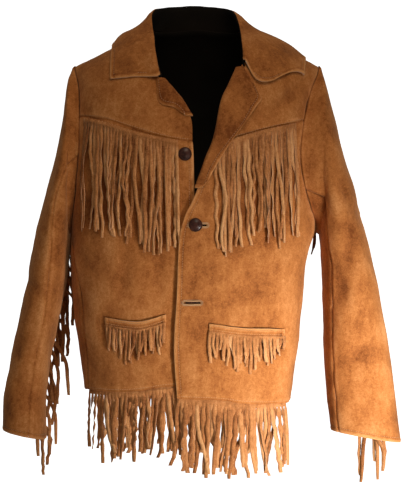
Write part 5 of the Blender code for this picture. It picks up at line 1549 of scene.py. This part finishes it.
def stitch_rows(name, rows):
    """One piece with every row given as panel, edge, distance and trimmed ends."""
    parts = [stitch_places(*inset_line(*row)) for row in rows]
    return beads(name, *(np.concatenate([part[i] for part in parts]) for i in range(3)))


stitching = [
    stitch_rows("stitches_fronts", (
        ("suede_front_right", "right", STITCH_INSET, 0.006),
        ("suede_front_left", "left", STITCH_INSET, 0.006),
        ("suede_front_right", "foot", 0.0045, 0.003),
        ("suede_front_left", "foot", 0.0045, 0.003))),
    stitch_rows("stitches_yokes", (
        ("suede_yoke_right", "foot", 0.0040, 0.003), ("suede_yoke_left", "foot", 0.0040, 0.003))),
    stitch_rows("stitches_collar", (
        ("suede_collar", "top", STITCH_INSET, 0.007), ("suede_collar", "left", STITCH_INSET, 0.045),
        ("suede_collar", "right", STITCH_INSET, 0.045))),
    stitch_rows("stitches_lapels", (
        ("suede_lapel_right", "left", STITCH_INSET, 0.004),
        ("suede_lapel_left", "right", STITCH_INSET, 0.004))),
    stitch_rows("stitches_sleeves", tuple(
        (f"suede_sleeve_{side}_{half}", "top", 0.0076, 0.003) for side in ("right", "left")
        for half in ("upper", "under"))),
    stitch_rows("stitches_pockets", tuple(
        (f"suede_pocket_{side}", edge, 0.0030, 0.003) for side in ("right", "left")
        for edge in ("top", "foot"))),
    stitch_rows("stitches_back", (("suede_back", "foot", 0.0045, 0.003),)),
]
print("stitch rows:", len(stitching))

# %% [markdown]
# The buttons are shallow domes with a rolled rim. Two buttonholes are cut through the left front, and a
# close border of thread surrounds each slit.

# %% Buttons
BUTTON_SIDES_FINE = 48


def domed_button(name, x, z, over):
    """A profile of radius and height turned round the level axis that points out of the front."""
    keys = np.linspace(0, 1, len(BUTTON["radius"]))
    share = np.r_[np.linspace(0, 0.66, 16), np.linspace(0.66, 1.0, 12)[1:]]
    radius = np.maximum(np.interp(share, keys, BUTTON["radius"]), 0)
    height = np.interp(share, keys, BUTTON["height"])
    height = height + 0.00035 * np.exp(-((radius - 0.0092) / 0.0008) ** 2) * (share < 0.66)
    angle = np.arange(BUTTON_SIDES_FINE) * 2 * math.pi / BUTTON_SIDES_FINE
    middle = on_body(x, z, LAID, over=over)
    ring = radius[1:-1, None]
    points = np.stack([ring * np.cos(angle), -height[1:-1, None] + 0 * angle, ring * np.sin(angle)], -1)
    points = points + middle
    rows, columns = points.shape[:2]
    index = np.arange(rows * columns).reshape(rows, columns)
    right = np.roll(index, -1, 1)
    quads = np.stack([index[:-1], index[1:], right[1:], right[:-1]], -1).reshape(-1, 4)
    ends = np.array([middle + (0, -height[0], 0), middle + (0, -height[-1], 0)])
    first, last = rows * columns, rows * columns + 1
    tips = [(first, a, b) for a, b in zip(index[0], right[0])]
    tips += [(last, b, a) for a, b in zip(index[-1], right[-1])]
    mesh = bpy.data.meshes.new(name)
    mesh.from_pydata(np.concatenate([points.reshape(-1, 3), ends]).tolist(), [],
                     quads.tolist() + [tuple(int(i) for i in tip) for tip in tips])
    mesh.shade_smooth()
    mesh.materials.append(BUTTON_LEATHER)
    return link(mesh, name)


buttons = [domed_button(f"dome_{number + 1}", x, z, over)
           for number, (x, z, over) in enumerate(zip(*BUTTONS.values()))]
print("buttons:", len(buttons))

# %% [markdown]
# A buttonhole is a real slit: a block cuts it, and close stitches hold its edge.

# %% Buttonholes
SLIT_HEIGHT, SLIT_DEPTH = 0.0034, 0.03
BORDER_STEP, BORDER_REACH = 0.0011, 0.0034
BORDER_STITCH, BORDER_THREAD = 0.0040, 0.00075


def cut_slit(piece, x0, x1, z):
    """A flat block takes the slit out of the front, and the result becomes the front's mesh."""
    bpy.ops.mesh.primitive_cube_add(size=1.0)
    block = bpy.context.object
    block.scale = (x1 - x0, SLIT_DEPTH, SLIT_HEIGHT)
    block.location = tuple(on_body((x0 + x1) / 2, z, 0, over=1.0))
    cut = piece.modifiers.new("slit", "BOOLEAN")
    cut.operation = "DIFFERENCE"
    cut.object = block
    bpy.context.view_layer.update()
    seen = piece.evaluated_get(bpy.context.evaluated_depsgraph_get())
    mesh = bpy.data.meshes.new_from_object(seen, preserve_all_data_layers=True,
                                           depsgraph=bpy.context.evaluated_depsgraph_get())
    piece.modifiers.clear()
    piece.data = mesh
    bpy.data.objects.remove(block)


def slit_border(name, x0, x1, z):
    """Stitches across the edge of the slit, above and below it and fanned round its ends."""
    xs = np.arange(x0 - 0.0008, x1 + 0.0008, BORDER_STEP)
    fan = np.linspace(-0.5, 0.5, 7) * math.pi
    reach = BORDER_REACH
    level = np.concatenate([np.stack([xs, z + reach + 0 * xs], -1), np.stack([xs, z - reach + 0 * xs], -1),
                            np.stack([x1 + reach * np.cos(fan), z + reach * np.sin(fan)], -1),
                            np.stack([x0 - reach * np.cos(fan), z + reach * np.sin(fan)], -1)])
    ways = np.concatenate([np.tile([0.0, 1.0], (2 * len(xs), 1)), np.stack([np.cos(fan), np.sin(fan)], -1),
                           np.stack([-np.cos(fan), np.sin(fan)], -1)])
    at = on_body(level[:, 0], level[:, 1], WALL + 0.0002, over=1.0)
    ahead = level + ways * 0.001
    ahead = on_body(ahead[:, 0], ahead[:, 1], WALL + 0.0002, over=1.0)
    along = ahead - at
    along /= np.linalg.norm(along, axis=-1, keepdims=True)
    out = on_body(level[:, 0], level[:, 1], WALL + 0.0012, over=1.0) - at
    out /= np.linalg.norm(out, axis=-1, keepdims=True)
    return beads(name, at, along, out, BORDER_STITCH, BORDER_THREAD)


for number, (x0, x1, z) in enumerate(zip(*HOLES.values())):
    cut_slit(front_left, x0, x1, z)
    slit_border(f"stitches_hole_{number + 2}", x0, x1, z)

# %% [markdown]
# Every piece stands for its solid, whose part is hidden. The flat sizes are the cut, printed: width across
# and length down of the rectangle that each piece is cut from, and its own area.

# %% What each piece stands for
PIECES = {
    "suede_front_right": (front_right, "front_right"), "suede_front_left": (front_left, "front_left"),
    "suede_yoke_right": (yoke_right, "yoke_right"), "suede_yoke_left": (yoke_left, "yoke_left"),
    "suede_back": (back, "back"), "suede_collar": (collar, "collar"),
    "suede_lapel_right": (lapel_right, "lapel_right"), "suede_lapel_left": (lapel_left, "lapel_left"),
    "suede_pocket_right": (pocket_right, "pocket_right"), "suede_pocket_left": (pocket_left, "pocket_left"),
    "suede_sleeve_right_upper": (sleeve_right_upper, "sleeve_right_upper"),
    "suede_sleeve_right_under": (sleeve_right_under, "sleeve_right_under"),
    "suede_sleeve_left_upper": (sleeve_left_upper, "sleeve_left_upper"),
    "suede_sleeve_left_under": (sleeve_left_under, "sleeve_left_under"),
    "strands_chest_right": (fringe_chest_right, "fringe_chest_right"),
    "strands_chest_left": (fringe_chest_left, "fringe_chest_left"),
    "strands_pocket_right": (fringe_pocket_right, "fringe_pocket_right"),
    "strands_pocket_left": (fringe_pocket_left, "fringe_pocket_left"),
    "strands_hem_right": (fringe_hem_right, "fringe_hem_right"),
    "strands_hem_left": (fringe_hem_left, "fringe_hem_left"),
    "strands_hem_back": (fringe_hem_back, "fringe_hem_back"),
    "strands_sleeve_right": (fringe_sleeve_right, "fringe_sleeve_right"),
    "strands_sleeve_left": (fringe_sleeve_left, "fringe_sleeve_left"),
}
for name, (piece, node) in PIECES.items():
    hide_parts(node)
for number, piece in enumerate(buttons):
    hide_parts(f"button_{number + 1}")
for name in PIECES:
    print("cut:", name, round(SPANS[name][0], 3), round(SPANS[name][1], 3), round(AREAS[name], 4))

# %% [markdown]
# The photograph is lit from low on the right, so the hem and the sleeve there glow and the left side falls
# into warm shade. A soft light with a narrow beam does that; a broad high one lights all the rest. Floor and
# backdrop are one pale sweep.

# %% Floor, backdrop and light
FLOOR_Z, FLOOR_FRONT = -1.60, -3.0
WALL_Y, WALL_TOP = 5.0, 1.6
SWEEP_BEND, SWEEP_HALF = 0.6, 1.6
# Lights: place, what it is aimed at, size, watts, colour and beam
KEY = ((1.05, -1.35, -1.15), (0.26, -0.10, -0.62), 0.45, 2.0, (1.0, 0.985, 0.96), 28.0)
FILL = ((0.4, -1.8, 1.6), (0.0, 0.0, -0.2), 1.5, 19.0, (1.0, 0.86, 0.66), 180.0)
ROOM_COLOUR, ROOM_LIGHT = (1.0, 0.93, 0.84, 1.0), 0.15


def pale(name, glow):
    """A pale matte finish; a glow keeps the backdrop white."""
    material, shader, _ = new_material(name)
    shader.inputs["Base Color"].default_value = (0.90, 0.90, 0.89, 1.0)
    shader.inputs["Roughness"].default_value = 0.9
    shader.inputs["Emission Color"].default_value = (1.0, 1.0, 1.0, 1.0)
    shader.inputs["Emission Strength"].default_value = glow
    return material


def sweep():
    """A level floor that curves up into a wall: an arc joins the two straight runs."""
    arc = np.linspace(0, math.pi / 2, 13)
    curve = np.stack([WALL_Y - SWEEP_BEND + SWEEP_BEND * np.sin(arc),
                      FLOOR_Z + SWEEP_BEND - SWEEP_BEND * np.cos(arc)], -1)
    profile = np.concatenate([[(FLOOR_FRONT, FLOOR_Z)], curve, [(WALL_Y, WALL_TOP)]])
    xs = np.linspace(-SWEEP_HALF, SWEEP_HALF, 3)
    points = np.stack([np.broadcast_to(xs[None, :], (len(profile), 3)),
                       np.broadcast_to(profile[:, :1], (len(profile), 3)),
                       np.broadcast_to(profile[:, 1:], (len(profile), 3))], -1)
    mesh = bpy.data.meshes.new("floor")
    mesh.from_pydata(points.reshape(-1, 3).tolist(), [], grid_faces(len(profile), 3).tolist())
    mesh.shade_smooth()
    mesh.materials.append(pale("floor", 0.0))
    mesh.materials.append(pale("backdrop", 1.0))
    rows = np.repeat(np.arange(len(profile) - 1), 2)
    mesh.polygons.foreach_set("material_index", (rows > 0).astype(np.int32))
    made = bpy.data.objects.new("floor", mesh)
    bpy.context.scene.collection.objects.link(made)


def area_light(name, place, target, size, watts, colour, beam):
    """A round soft light aimed at a target; beam is the angle that it shines into, in degrees."""
    data = bpy.data.lights.new(name, "AREA")
    data.spread = math.radians(beam)
    data.shape = "DISK"
    data.size = size
    data.energy = watts
    data.color = colour
    lamp = bpy.data.objects.new(name, data)
    lamp.location = place
    way = np.array(target) - np.array(place)
    lamp.rotation_euler = (math.acos(-way[2] / np.linalg.norm(way)), 0,
                           math.atan2(way[1], way[0]) - math.pi / 2)
    bpy.context.scene.collection.objects.link(lamp)


sweep()
area_light("key", *KEY)
area_light("fill", *FILL)
world = bpy.data.worlds.new("studio")
world.use_nodes = True
world.node_tree.nodes["Background"].inputs["Color"].default_value = ROOM_COLOUR
world.node_tree.nodes["Background"].inputs["Strength"].default_value = ROOM_LIGHT
bpy.context.scene.world = world
print("lights: 2")
